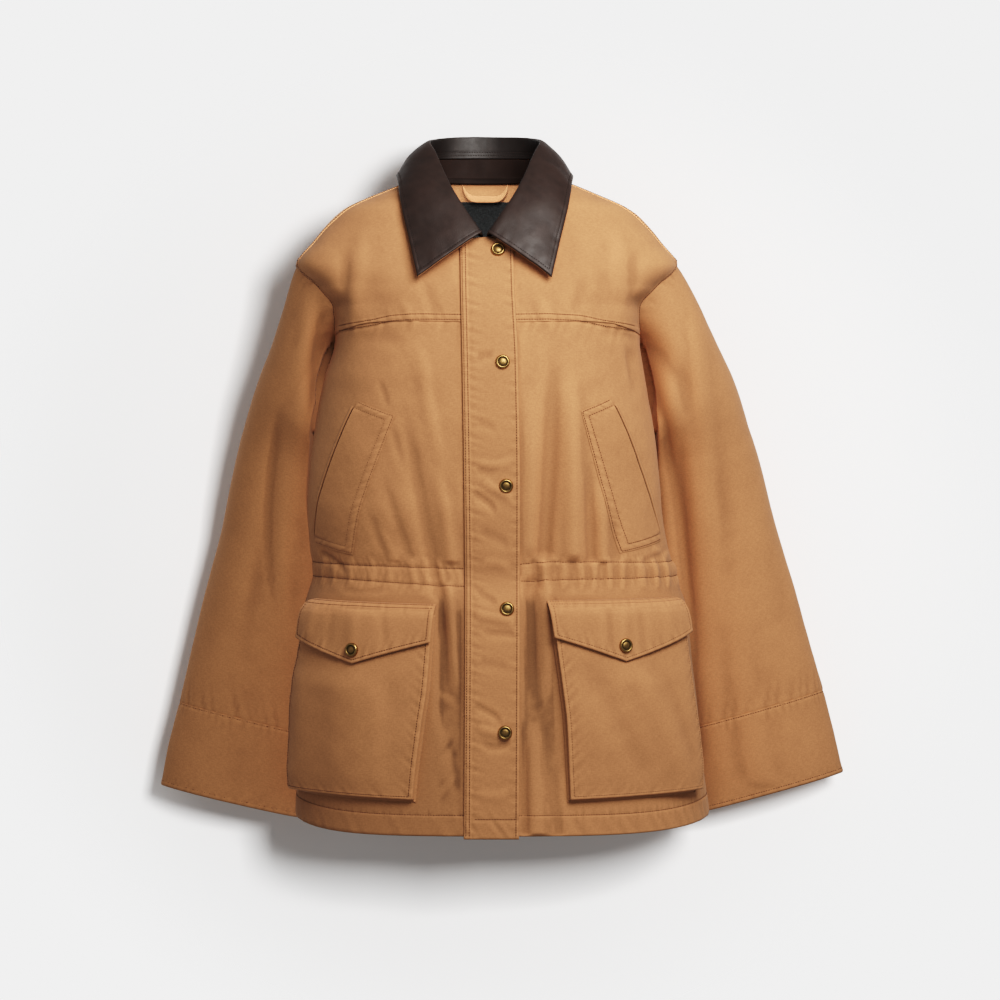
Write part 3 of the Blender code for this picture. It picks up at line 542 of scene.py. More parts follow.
def swells(point, *heights):
    """Unevenness of the cloth, from the heights of its broad, middle and fine swells."""
    return MM * sum(high * swell(field, point) for high, field in zip(heights, (BROAD, MIDDLE, FINE)))


def crease(t, across, line, near, far, high, fade_first, fade_last):
    """One crease: t runs from 0 to 1 along it, and line says where its first end, middle and last end lie."""
    first, middle, last = line
    c = np.clip(t, 0, 1)
    away = across - (first * (1 - c) * (1 - 2 * c) + middle * 4 * c * (1 - c) + last * c * (2 * c - 1))
    ends = smoothstep(t / fade_first) * smoothstep((1 - t) / fade_last)
    return high * MM * ends * bump(away, np.where(away < 0, near, far))


def upright_creases(rows, x, z):
    """Height of upright creases at x and z in millimetres."""
    total = 0.0 * (x + z)
    for top_x, top_z, middle_x, foot_x, foot_z, *rest in rows:
        total = total + crease((top_z - z) / (top_z - foot_z), x, (top_x, middle_x, foot_x), *rest)
    return total


def level_creases(rows, x, z):
    """The same for level creases."""
    total = 0.0 * (x + z)
    for first_x, first_z, middle_z, last_x, last_z, above, below, *rest in rows:
        along = (x - first_x) / (last_x - first_x)
        total = total + crease(along, z, (first_z, middle_z, last_z), below, above, *rest)
    return total


def share_creases(rows, across, down):
    """Creases given by their two ends as shares of a small panel."""
    total = 0.0 * (across + down)
    for across_a, down_a, across_b, down_b, wide, high in rows:
        t = (down - down_a) / (down_b - down_a)
        away = across - (across_a + (across_b - across_a) * np.clip(t, 0, 1))
        ends = smoothstep((t + 0.15) / 0.4) * smoothstep((1.15 - t) / 0.4)
        total = total + high * MM * ends * bump(away, wide)
    return total


# ---------------------------------------------------------------- the form


def torso_ring(angle, level):
    """The plain form of the body."""
    turn = np.radians(angle)
    s, c = np.sin(turn), np.cos(turn)
    to_back = smoothstep((np.abs(angle) - 100) / 25)
    half = TORSO.at("front_half", level) * (1 - to_back) + TORSO.at("back_half", level) * to_back
    depth = np.where(c >= 0, TORSO.at("front_depth", level), TORSO.at("back_depth", level))
    x = TORSO.at("centre", level) + half * np.sign(s) * np.abs(s) ** RING_POWER
    y = -depth * np.sign(c) * np.abs(c) ** RING_POWER
    below_shoulder = smoothstep((np.abs(angle) - 36) / 30) * smoothstep((102 - np.abs(angle)) / 20)
    y = y - SHOULDER_FILL * below_shoulder * bump(level + 0.132, 0.038)
    return np.stack([x, y, level + 0 * x], axis=-1)


def torso_normal(angle, level):
    across = torso_ring(angle + 1.0, level) - torso_ring(angle - 1.0, level)
    up = torso_ring(angle, level + 0.002) - torso_ring(angle, level - 0.002)
    return unit(np.cross(across, up))


def angle_at(x, level):
    share = np.clip((x - TORSO.at("centre", level)) / TORSO.at("front_half", level), -1, 1)
    return np.degrees(np.arcsin(np.sign(share) * np.abs(share) ** (1 / RING_POWER)))


def metres_a_degree(level):
    return 0.0164 * TORSO.at("front_half", level)


def hem_level(angle):
    return HEM_SIDE - HEM_FRONT_DROP * smoothstep((np.cos(np.radians(angle)) + 0.1) / 1.1)


def yoke_seam_level(x):
    return YOKE_SEAM.at("level", np.abs(x))


def below_armpit(level):
    return smoothstep((ARMPIT - level) / 0.01)


def over_shoulder(level):
    return smoothstep((level - SHOULDER_POINT) / 0.008)


def outer_angle(level, face):
    """Where a panel ends at the side: shoulder seam, armhole or side seam. Face is front or back."""
    turn = np.degrees(np.arccos(np.clip((level - ARMHOLE_MIDDLE) / ARMHOLE_HALF, -1, 1)))
    side = np.where(level < ARMPIT + 1e-6, SIDE_SEAM, ARMHOLE.at("angle_" + face, turn))
    return np.where(level > SHOULDER_POINT, SHOULDER_SEAM.at("angle", level), side)


def armhole(side, turn, wider=0.0):
    """Angle and level on the body of the armhole edge, or of a line round it that far into the body."""
    turn = np.asarray(turn, float) % 360
    down = np.where(turn <= 180, turn, 360 - turn)
    level = ARMHOLE_MIDDLE + (ARMHOLE_HALF + wider) * np.cos(np.radians(down))
    front, back = ARMHOLE.at("angle_front", down), ARMHOLE.at("angle_back", down)
    shift = wider / DEGREE * np.sin(np.radians(down))
    return side * np.where(turn <= 180, front - shift, back + shift), level


def along_fold(row, angle, along, fade_first, fade_last, spare=0.0):
    """Height of one broad fold, which runs from one angle and place to another."""
    angle_a, along_a, angle_b, along_b, wide, high = row
    t = (along - along_a) / (along_b - along_a)
    away = half_turned(angle - (angle_a + (angle_b - angle_a) * np.clip(t, 0, 1)))
    return high * smoothstep(t / fade_first) * smoothstep((1 + spare - t) / fade_last) * bump(away, wide)


def back_gathers():
    """The gathers of the drawn waist behind, unevenly spaced."""
    draw = np.random.default_rng(21)
    rows, x = [], -196.0
    while x < 192:
        high = draw.uniform(1.0, 2.8)
        top, foot = x + draw.uniform(-3, 3), x + draw.uniform(-5, 5)
        wide = draw.uniform(3.6, 6.0)
        top_z, foot_z = -384 + draw.uniform(-8, 4), -436 + draw.uniform(-6, 6)
        rows.append((top, top_z, x, foot, foot_z, wide, wide, high, 0.4, 0.4))
        x += draw.uniform(13, 34)
    return tuple(rows)


BACK_GATHERS = back_gathers()


def casing(angle, level):
    """The drawstring channel at the waist: a soft tube between two pinched rows."""
    top, foot = CASING.at("top", angle), CASING.at("foot", angle)
    tube = 0.9 * MM * np.sin(np.pi * np.clip((level - foot) / (top - foot), 0, 1)) ** 0.8
    run = np.radians(angle) * 0.18
    upper = ridge(level - top, 0, 1.4, -0.6) + pucker(run, level - top, 9, 8, 0.32, 0.3, 1.0)
    lower = ridge(level - foot, 0, 1.4, -0.45) + pucker(run, level - foot, 10.5, 9, 0.32, -0.3, 4.0)
    return tube + upper + lower


def on_placket(x, level):
    """1 where the placket covers the fronts, falling to 0 just outside it."""
    seam_x, edge_x = PLACKET.at("seam", level), PLACKET.at("edge", level)
    return smoothstep((x - seam_x + 5 * MM) / (5 * MM)) * smoothstep((edge_x + 5 * MM - x) / (5 * MM))


def under_pocket(angle, level):
    cover = smoothstep((np.abs(angle) - 12.5) / 3) * smoothstep((80 - np.abs(angle)) / 6)
    return cover * smoothstep((-0.432 - level) / 0.010)


def hollow_beside_placket(angle, level):
    both = 5.0 * MM * bump(angle + 11, 5.0) + 4.0 * MM * bump(angle - 10, 4.5)
    return both * smoothstep((-0.428 - level) / 0.07) * smoothstep((level + 0.69) / 0.20)


def relief(angle, level):
    """Creases, gathers and unevenness of the body cloth, outwards."""
    point = torso_ring(angle, level)
    x, z = point[..., 0] / MM, level / MM
    front, covered = smoothstep((96 - np.abs(angle)) / 12), on_placket(point[..., 0], level)
    body = upright_creases(FRONT_CREASES, x, z) + level_creases(FRONT_LEVEL_CREASES, x, z)
    body = body + upright_creases(GATHERS, x, z) + casing(angle, level) - hollow_beside_placket(angle, level)
    body = body * (1 - covered) + level_creases(PLACKET_CREASES, x, z) * covered
    behind = upright_creases(BACK_CREASES, x, z) + upright_creases(BACK_GATHERS, x, z) + casing(angle, level)
    behind = behind + sum(along_fold(row, angle, level, 0.45, 0.22, 0.12) for row in BACK_FOLDS)
    uneven = swells(point, 0.50, 0.10, 0.025)
    uneven = uneven * (1 - 0.6 * covered * front) * smoothstep((0.010 - level) / 0.03)
    return (body * front + behind * (1 - front) + uneven) * (1 - under_pocket(angle, level) * front)


def drape(angle, level, out=0.0):
    """A point of the draped body, moved out by a distance."""
    angle, level = np.asarray(angle, float), np.asarray(level, float)
    lift = (relief(angle, level) + out)[..., None]
    return torso_ring(angle, level) + torso_normal(angle, level) * lift


def sleeve_ring(side, turn, along):
    """The plain form of a sleeve: turn goes round it and along runs down it."""
    lift = SLEEVE.at("lift", along) * (side > 0)
    outer_out = SLEEVE.at("outer_out", along) + SLEEVE.at("swing_out", along) * (side > 0)
    inner_out = SLEEVE.at("inner_out", along) + SLEEVE.at("swing_in", along) * (side > 0)
    outer_level = SLEEVE.at("outer_level", along) + lift
    inner_level = SLEEVE.at("inner_level", along) + 0.3 * lift
    c, s = np.cos(np.radians(turn)), np.sin(np.radians(turn))
    wide = np.sign(c) * np.abs(c) ** 0.92
    deep = np.sign(s) * np.abs(s) ** (0.92 + 0.30 * smoothstep((along - 0.3) / 0.6) * (c > 0))
    x = (outer_out + inner_out) / 2 + (outer_out - inner_out) / 2 * wide
    z = (outer_level + inner_level) / 2 + (outer_level - inner_level) / 2 * wide
    y = SLEEVE.at("back", along) - SLEEVE.at("depth", along) * deep
    ring = np.stack([x, y, z], axis=-1)
    blend = (1 - (1 - np.clip(along / 0.24, 0, 1)) ** 2)[..., None]
    return torso_ring(*armhole(side, turn)) * (1 - blend) + ring * np.array([side, 1, 1]) * blend


def sleeve_normal(side, turn, along):
    across = sleeve_ring(side, turn + 2.0, along) - sleeve_ring(side, turn - 2.0, along)
    down = sleeve_ring(side, turn, along + 0.004) - sleeve_ring(side, turn, along - 0.004)
    return unit(np.cross(across, down) * side)


def sleeve_relief(side, turn, along, point):
    folds = [row for fold_side, *row in SLEEVE_FOLDS if fold_side == side]
    height = sum(along_fold(row, turn, along, 0.35, 0.35) for row in folds)
    facing_front = smoothstep(np.sin(np.radians(turn)) / 0.35)
    creased = upright_creases(SLEEVE_CREASES, point[..., 0] / MM, point[..., 2] / MM)
    return height + creased * facing_front + swells(point, 0.35, 0.07, 0.02) * smoothstep(along / 0.05)


def clear_of_body(side, point, along):
    """The least x, to its own side, that a sleeve may have, or 0 where it is still in the armhole."""
    level = np.minimum(point[..., 2], -0.10)
    y = point[..., 1]
    depth = np.where(y < 0, TORSO.at("front_depth", level), TORSO.at("back_depth", level)) + 2 * MM
    half = np.where(y < 0, TORSO.at("front_half", level), TORSO.at("back_half", level))
    share = np.clip(np.abs(y) / depth, 0, 1) ** (2 / RING_POWER)
    clear = SLEEVE_CLEAR * smoothstep((along - 0.004) / 0.10)
    limit = side * TORSO.at("centre", level) + half * (1 - share) ** (RING_POWER / 2) + clear
    return np.where((share < 1) & (along > 0.004), limit, 0)


def sleeve(side, turn, along, out=0.0):
    """A point of the draped sleeve, moved out by a distance; before 0 it is tucked under the body's edge."""
    turn, along = np.asarray(turn, float), np.asarray(along, float)
    plain = sleeve_ring(side, turn, np.maximum(along, 0))
    height = sleeve_relief(side, turn, np.maximum(along, 0), plain) + out + turned_in(along, 0.5, 20)
    point = plain + sleeve_normal(side, turn, np.maximum(along, 0.001)) * height[..., None]
    point[..., 0] = side * np.maximum(side * point[..., 0], clear_of_body(side, point, along))
    tucked = along < 0
    if np.any(tucked):
        angle, level = armhole(side, turn, -along * 0.6)
        point = np.where(tucked[..., None], drape(angle, level, -0.5 * MM + along * 0.13), point)
    return point


def from_neck(points):
    """Away from the middle of the neck, and a little up."""
    away = points - np.array([COLLAR_CENTRE, NECK_MIDDLE, 0])
    away[..., 2] = 0.02
    return away


def collar_line(line, across):
    share = 1 - np.abs(across)
    x = COLLAR_CENTRE + np.sign(across) * COLLAR.at(line + "_out", share)
    return np.stack([x, COLLAR.at(line + "_back", share), COLLAR.at(line + "_up", share)], axis=-1)


def collar_ring(across, way):
    """The collar: way runs from -1 at the neck seam over 0 at the roll to 1 at the outer edge."""
    neck, roll, edge = (collar_line(line, across) for line in ("neck", "roll", "edge"))
    chord = unit(edge - roll)
    radial = from_neck(roll)
    lift = unit(radial - (radial * chord).sum(-1, keepdims=True) * chord)
    control = (roll + edge) / 2 + lift * 2 * COLLAR.at("bulge", 1 - np.abs(across))[..., None]
    t = np.clip(way, 0, 1)[..., None]
    leaf = roll * (1 - t) ** 2 + control * 2 * t * (1 - t) + edge * t**2
    stand = roll + (neck - roll) * np.clip(-way, 0, 1)[..., None]
    return np.where(way[..., None] > 0, leaf, stand)


def collar_shape(across, way):
    """The collar with its roll and the middle of its back rounded, as thick leather turns."""
    near = bump(way, 0.22)[..., None]
    reach = 0.05 * smoothstep((1 - np.abs(across)) / 0.12)
    total, steps = 0, (-1.0, -0.5, 0.0, 0.5, 1.0)
    for step in steps:
        soft = sum(collar_ring(across + reach * step, way + 0.10 * turn) for turn in steps) / 5
        total = total + collar_ring(across + reach * step, way) * (1 - near) + soft * near
    return total / 5


def collar_surface(across, way, out=0.0):
    """A point of the collar, moved out along its outer side."""
    across, way = np.asarray(across, float), np.asarray(way, float)
    step = collar_shape(across + 0.006, way) - collar_shape(across - 0.006, way)
    down = collar_shape(across, way + 0.03) - collar_shape(across, way - 0.03)
    return collar_shape(across, way) + unit(np.cross(step, down)) * (out + 0 * across)[..., None]


# ---------------------------------------------------------------- every piece as a surface of two numbers


def armhole_distance(angle, level, face):
    """Distance on the body from the armhole edge."""
    nearest = np.full(np.broadcast(angle, level).shape, 9.0)
    for turn in np.linspace(0, 180, 91):
        edge, height = armhole(1, turn if face == "front" else 360 - turn)
        away = np.hypot((np.abs(angle) - edge) * DEGREE, level - height)
        nearest = np.minimum(nearest, away)
    return nearest


def hem_relief(angle, level):
    """The turned hem, roped by its stitching."""
    up, run = level - hem_level(angle), angle * DEGREE
    turned = raised(up, 23.5, 3, 0.7) + turned_in(up, 0.7, 2.2)
    rope = pucker(run, up, 19, 30, 0.24, 0.55, 2.0) * smoothstep((25 * MM - up) / (8 * MM))
    stitched = ridge(up, HEM_ROW, 1.1, -0.5) + pucker(run, up - HEM_ROW * MM, 9, 6, 0.3, 0.0, 5)
    return turned + rope + stitched


def armhole_relief(angle, level, face):
    away = armhole_distance(angle, level, face)
    run = level * 1.1 + angle * 0.002
    edge = seam(away, ARMHOLE_ROWS, 8.6, 0.9) * smoothstep((14 * MM - away) / (8 * MM))
    return edge + pucker(run, away - 5 * MM, 10, 8, 0.3, 0.2, 3)


def front_at(side, angle, level):
    x = torso_ring(angle, level)[..., 0]
    below, away = yoke_seam_level(x) - level, (SIDE_SEAM - side * angle) * DEGREE
    out = armhole_relief(angle, level, "front") + hem_relief(angle, level)
    out = out + turned_in(below + 1 * MM, 0.5, 3) + pucker(x, below, 13, 9, 0.35, 0.3, 6)
    side_edge = turned_in(away, 0.8) + pucker(level, away, 15, 10, 0.35, 0.2, 7)
    return drape(angle, level, out + side_edge * below_armpit(level))


def yoke_at(side, angle, level):
    x = torso_ring(angle, level)[..., 0]
    above = level - yoke_seam_level(x)
    out = armhole_relief(angle, level, "front") + seam(above, YOKE_ROWS, 9.3, LAP, 0.15)
    out = out + pucker(x, above - 4 * MM, 10, 7, 0.3, 0.3, 8)
    away = (SHOULDER_SEAM.at("angle", level) - side * angle) * metres_a_degree(level)
    return drape(angle, level, out + turned_in(away, 0.8) * over_shoulder(level))


def back_at(angle, level):
    """Angle runs on from the left side over 180 to the right side."""
    angle = half_turned(np.asarray(angle, float))
    out = armhole_relief(angle, level, "back") + hem_relief(angle, level)
    away = (np.abs(angle) - SIDE_SEAM) * DEGREE
    side_seam = seam(away, SIDE_ROWS, 9.3, 0.8) + pucker(level, away - 4 * MM, 13, 9, 0.35, 0.2, 7)
    away = (np.abs(angle) - SHOULDER_SEAM.at("angle", level)) * metres_a_degree(level)
    shoulder_seam = seam(away, SHOULDER_ROWS, 8.8, 0.9)
    return drape(angle, level, out + side_seam * below_armpit(level) + shoulder_seam * over_shoulder(level))


def placket_at(x, level):
    """The placket: a sewn ridge down its seam side and a turned free edge."""
    from_seam, from_edge = x - PLACKET.at("seam", level), PLACKET.at("edge", level) - x
    up = level - PLACKET_FOOT
    out = raised(from_seam, 9.0, 1.6, 0.9)
    out = out + sum(ridge(from_seam, row, 0.9, -0.45) for row in PLACKET_SEAM_ROWS)
    out = out + raised(from_edge, 4.6, 2.4, 0.5) + ridge(from_edge, PLACKET_EDGE_ROW, 0.9, -0.4)
    out = out + turned_in(from_seam, 1.3, 1.6) + turned_in(from_edge, 1.0, 1.6)
    out = out + turned_in(up, 0.8) + ridge(up, PLACKET_FOOT_ROW, 1.0, -0.4)
    out = out + pucker(level, from_seam - 9 * MM, 10, 9, 0.42, 0.25, 9)
    out = out + pucker(level, from_edge - 3 * MM, 12, 7, 0.32, -0.2, 10)
    out = out + pucker(x, up - 12 * MM, 13, 12, 0.4, 0.7, 11)
    return drape(angle_at(x, level), level, PLACKET_OUT + out)


def sleeve_at(side, turn, along):
    down, up = along * SLEEVE_OUTER_REACH, (CUFF_SEAM - along) * SLEEVE_REACH
    out = pucker(np.radians(turn) * 0.09, down, 14, 22, 0.55, 0.2, 12) * smoothstep(down / (3 * MM))
    out = out + pucker(np.radians(turn) * 0.07, up, 13, 16, 0.55, 0.3, 13 + side)
    out = out + turned_in(up + 1 * MM, 0.5, 3)
    under = half_turned(np.asarray(turn, float) - 180)
    under_seam = turned_in(np.abs(under) * 1.5 * MM, 0.5, 1.4) - 0.5 * MM * bump(under, 1.0)
    return sleeve(side, turn, along, out + under_seam * smoothstep(along / 0.02))


def cuff_at(side, turn, along):
    down, up = (along - CUFF_SEAM) * SLEEVE_REACH, (1 - along) * SLEEVE_REACH
    run = np.radians(turn) * 0.07
    out = 0.5 * MM + seam(down, (CUFF_TOP_ROW,), 3.6, 0.0, 0.2) + ridge(down, 1.4, 1.6, -0.3)
    out = out + raised(up, 7, 3, 0.4) + ridge(up, CUFF_FOOT_ROW, 1.0, -0.45) + turned_in(up, 0.9)
    out = out + pucker(run, down - 2 * MM, 8.5, 7, 0.5, 0.1, 14) + ridge(down, 50, 30, 0.25)
    return sleeve(side, turn, along, out + pucker(run, up - 2 * MM, 6.5, 6, 0.4, 0.3, 15))


def flattened(across):
    """How much of its depth a cargo pocket or flap keeps: all of it where its outer edge is the outline."""
    return POCKET_FLAT + (1 - POCKET_FLAT) * smoothstep((across - 0.55) / 0.40)


def bag_at(side, share, along):
    """A cargo pocket: share 0 to 1 and along 0 to 1 are its face, and past them are the gusset walls."""
    table = BAGS[side]
    walled = np.clip(np.maximum(np.maximum(-share, share - 1), along - 1), 0, 1)
    face, drop = np.clip(share, 0, 1), np.clip(along, 0, 1)
    inner, outer = table.at("angle_in", drop), table.at("angle_out", drop)
    spread = 2.4 * MM * walled - 2.6 * MM * np.sin(np.pi * walled)
    level = table.at("level", drop) + BAG_FOOT_RISE * face * drop - spread * (along > 1)
    sideways = (share > 1) * 1.0 - (share < 0) * 1.0
    angle = inner + (outer - inner) * face + side * spread / metres_a_degree(level) * sideways
    point = torso_ring(angle, level)

    width = np.abs(outer - inner) * DEGREE * 0.86
    run = face * width + drop * BAG_HEIGHT
    edge = np.minimum(np.minimum(face, 1 - face) * width, (1 - drop) * BAG_HEIGHT)
    onto = 1 - smoothstep(walled / 0.25)
    under = smoothstep((drop - 0.24) / 0.16)  # the flap holds the bag flat
    puffed = 2.0 * MM * np.sin(np.pi * face) ** 0.8 * np.sin(np.pi * (0.12 + 0.88 * drop)) ** 0.7
    small = seam(edge, (BAG_ROW,), 4.8, 0.6, 0.9) * (0.3 + 0.7 * under)
    small = small + share_creases(BAG_CREASES[side], face, drop) * under
    small = small + pucker(run, edge - 2.5 * MM, 12, 7, 0.28, 0.2, 16 + side)
    small = small + swells(point, 0.45, 0.13, 0.02)
    inner_foot = smoothstep((drop - 0.5) / 0.5) * (1 - smoothstep((face - 0.6) / 0.35))
    flat = flattened(face) * (1 - 0.32 * inner_foot)
    out = table.at("proud", drop) * flat + puffed * (0.2 + 0.8 * under) * onto
    out = out * (1 - walled) + 0.3 * MM * walled + small * onto
    out = out + 0.4 * MM * np.sin(180 * run) * (1 - onto) * (1 - walled)
    return point + torso_normal(angle, level) * out[..., None]


def flap_corners(side, u, v):
    inner_top, inner_foot, tip, outer_foot, outer_top = (np.array(c) for c in FLAPS[side])
    u, v = np.asarray(u, float)[..., None], np.asarray(v, float)[..., None]
    top = inner_top + (outer_top - inner_top) * u
    first = inner_foot + (tip - inner_foot) * np.clip(u / 0.5, 0, 1)
    foot = np.where(u < 0.5, first, tip + (outer_foot - tip) * (u - 0.5) / 0.5)
    return top, foot, top + (foot - top) * v


def flap_at(side, u, v):
    """A pocket flap: u runs out from its inner edge and v down from its sewn top."""
    top, foot, corner = flap_corners(side, u, v)
    angle, level = corner[..., 0], corner[..., 1]
    point, run, drop = torso_ring(angle, level), u * FLAP_WIDTH, top[..., 1] - level
    from_foot = (top[..., 1] - foot[..., 1]) * (1 - v) * FLAP_SLANT
    edge = np.minimum(from_foot, np.minimum(u, 1 - u) * FLAP_WIDTH)
    below = smoothstep((drop - 7 * MM) / (4 * MM))
    out = FLAP_RISE.at("proud", drop) * (flattened(u) + 0.02) - FLAP_SINK[side] * MM
    out = out + seam(drop, FLAP_TOP_ROWS, 6.4, 1.0, 0.9)
    out = out + seam(edge, (FLAP_ROW,), 4.8, 0.5, 0.8) * (0.3 + 0.7 * below)
    out = out + (share_creases(FLAP_CREASES[side], u, v) + swells(point, 0.35, 0.12)) * below
    out = out + pucker(run, drop - 3.5 * MM, 8, 6, 0.4, 0.2, 18 + side)
    out = out + pucker(run, from_foot - 3.5 * MM, 9, 6, 0.35, 0.3, 20 + side)
    return point + torso_normal(angle, level) * out[..., None]


def welt_at(side, u, v):
    """A slanting hand pocket: u runs in from its opening, below 0 is the lip beyond it, and v runs down."""
    open_top, open_foot, in_top, in_foot = (np.array(c) for c in WELTS[side])
    u, v = np.asarray(u, float), np.asarray(v, float)
    one, two = u[..., None], v[..., None]
    corner = (open_top * (1 - two) + open_foot * two) * (1 - one) + (in_top * (1 - two) + in_foot * two) * one
    across, down = u * WELT_WIDTH, v * WELT_LENGTH
    from_ends = np.minimum(down, WELT_LENGTH - down)
    edge = np.minimum(from_ends, WELT_WIDTH - across)
    ends = smoothstep((from_ends - 6 * MM) / (5 * MM))
    panel = 0.85 * MM + seam(edge, WELT_ROWS, 9.0, 0.30, 0.45)
    panel = panel + pucker(down + across, edge - 4.5 * MM, 9, 6, 0.22, 0.2, 22 + side)
    fold = 1.5 * MM * np.exp(-np.clip(across, 0, 1) / (7 * MM)) * ends
    lip = 0.25 * MM + 1.3 * MM * smoothstep((across + 6.5 * MM) / (3.2 * MM)) * ends
    out = np.where(across < -0.1 * MM, lip, panel + fold)
    gap = smoothstep((across + 3.0 * MM) / (0.8 * MM)) * smoothstep(-across / (0.7 * MM)) * ends
    return drape(corner[..., 0], corner[..., 1], out * (1 - gap) + 0.1 * MM * gap)


def welt_shade(u, v):
    """Painted shade down in the opening of a hand pocket."""
    across, down = u * WELT_WIDTH, v * WELT_LENGTH
    ends = smoothstep((np.minimum(down, WELT_LENGTH - down) - 5 * MM) / (4 * MM))
    slit = smoothstep((across + 3.2 * MM) / (0.9 * MM)) * smoothstep((0.5 * MM - across) / (0.9 * MM))
    return -2.8 * slit * ends


def waist_shade(side, u, v):
    """Painted shade on a front under its waist, which fades downwards."""
    foot = -0.68 if side > 0 else -0.76
    return -1.6 * smoothstep((-0.426 - v) / 0.02) * smoothstep((v - foot) / 0.12)


def leaf_relief(across, way):
    point = collar_ring(across, way)
    return swells(point, 0.8, 0.22) * (0.35 + 0.65 * smoothstep(way / 0.2)) + 0.04 * MM * swell(FINE, point)


def leaf_width(across):
    return np.linalg.norm(collar_line("edge", across) - collar_line("roll", across), axis=-1)


def leaf_at(across, way):
    """The collar from its seam with the stand, over the roll, to its outer edge."""
    from_edge = np.where(way > 0, (1 - way) * leaf_width(across), 1.0)
    from_end = (1 - np.abs(across)) * 0.262
    edge = np.minimum(from_edge, from_end)
    run = np.where(from_edge < from_end, across * 0.26, way * 0.08)
    out = leaf_relief(across, way) + seam(edge, (LEAF_ROW,), 6.4, 0.40, 0.7)
    out = out + pucker(run, edge - 4 * MM, 14, 7, 0.22, 0.1, 25)
    return collar_surface(across, way, out - 0.35 * MM * sum(bump(way - row, 0.03) for row in ROLL_ROWS))


def under_collar_at(across, way):
    return collar_surface(across, way, leaf_relief(across, way) - 2.0 * MM)


def collar_inside_painted_shade(across, way):
    """Painted shade on the inside of the collar, in the shadow of the neck."""
    return -0.9 * smoothstep((0.02 - way) / 0.12)


def stand_at(across, way):
    """The stand, which runs on a little below the neck seam inside the back."""
    out = -0.4 * MM + 0.25 * MM * swell(MIDDLE, collar_ring(across, way))
    low = (np.maximum(-1 - way, 0) * smoothstep((0.75 - np.abs(across)) / 0.2))[..., None]
    below = (collar_line("neck", across) - collar_line("roll", across)) * low
    inside = collar_surface(across, np.maximum(way, -1.0), out) + below
    inside[..., 1] -= 1.5 * MM * smoothstep(low[..., 0] / 0.05) * (inside[..., 1] > 0.02)
    return inside


def loop_at(u, v):
    t = 2 * u - 1
    sag = 1 - t**4
    x = COLLAR_CENTRE + 0.0248 * np.sign(t) * np.abs(t) ** 0.8
    y = 0.0520 - 0.0040 * sag - 0.5 * MM * (1 - v * v)
    z = 0.0065 - 0.0135 * sag + v * 3.6 * MM
    return np.stack([x, y, z], axis=-1)


def label_at(u, v):
    width, height, foot = 0.056, 0.042, -0.050
    level = foot + height * v
    x = COLLAR_CENTRE + width / 2 * (2 * u - 1)
    share = np.abs(x) / TORSO.at("back_half", level)
    angle = 180 - np.sign(x) * np.degrees(np.arcsin(share ** (1 / RING_POWER)))
    edge = np.minimum(np.minimum(u, 1 - u) * width, np.minimum(v, 1 - v) * height)
    out = -3.0 * MM - 0.3 * MM * np.sin(np.pi * u) + ridge(edge, 2.2, 0.8, 0.25)
    return drape(half_turned(angle), level, out)


# ---------------------------------------------------------------- making sheets


def graded(start, end, count, marks=(), reach=8 * MM, gain=1.6):
    """Rows from start to end, closer together near the marks."""
    fine = np.linspace(start, end, 4000)
    weight = 1.0 + sum((gain * bump(fine - mark, reach) for mark in marks), 0 * fine)
    total = np.concatenate([[0], np.cumsum((weight[1:] + weight[:-1]) / 2)])
    return np.interp(np.linspace(0, total[-1], count + 1), total, fine)


def standing_out(points, normal):
    """How far each corner stands out from its neighbours, near and less near, from -1 to 1."""
    total = 0
    for step, size in ((1, 0.10 * MM), (3, 0.55 * MM)):
        wide = np.pad(points, ((step, step), (step, step), (0, 0)), mode="edge")
        mean = (wide[2 * step :, step:-step] + wide[: -2 * step, step:-step]) / 4
        mean = mean + (wide[step:-step, 2 * step :] + wide[step:-step, : -2 * step]) / 4
        total = total + np.clip(((points - mean) * normal).sum(-1) / size, -1, 1)
    return total / 2


def running_length(points, axis):
    """Length along the rows or columns of a grid of points, from the middle one."""
    step = np.linalg.norm(np.diff(points, axis=axis), axis=-1)
    first = np.zeros_like(np.take(step, [0], axis=axis))
    length = np.concatenate([first, np.cumsum(step, axis=axis)], axis=axis)
    return length - np.take(length, [length.shape[axis] // 2], axis=axis)


def in_scene(name, data):
    made = bpy.data.objects.new(name, data)
    bpy.context.scene.collection.objects.link(made)
    return made


def corners(data):
    """The places of a mesh's vertices."""
    flat = np.empty(len(data.vertices) * 3)
    data.vertices.foreach_get("co", flat)
    return flat.reshape(-1, 3)


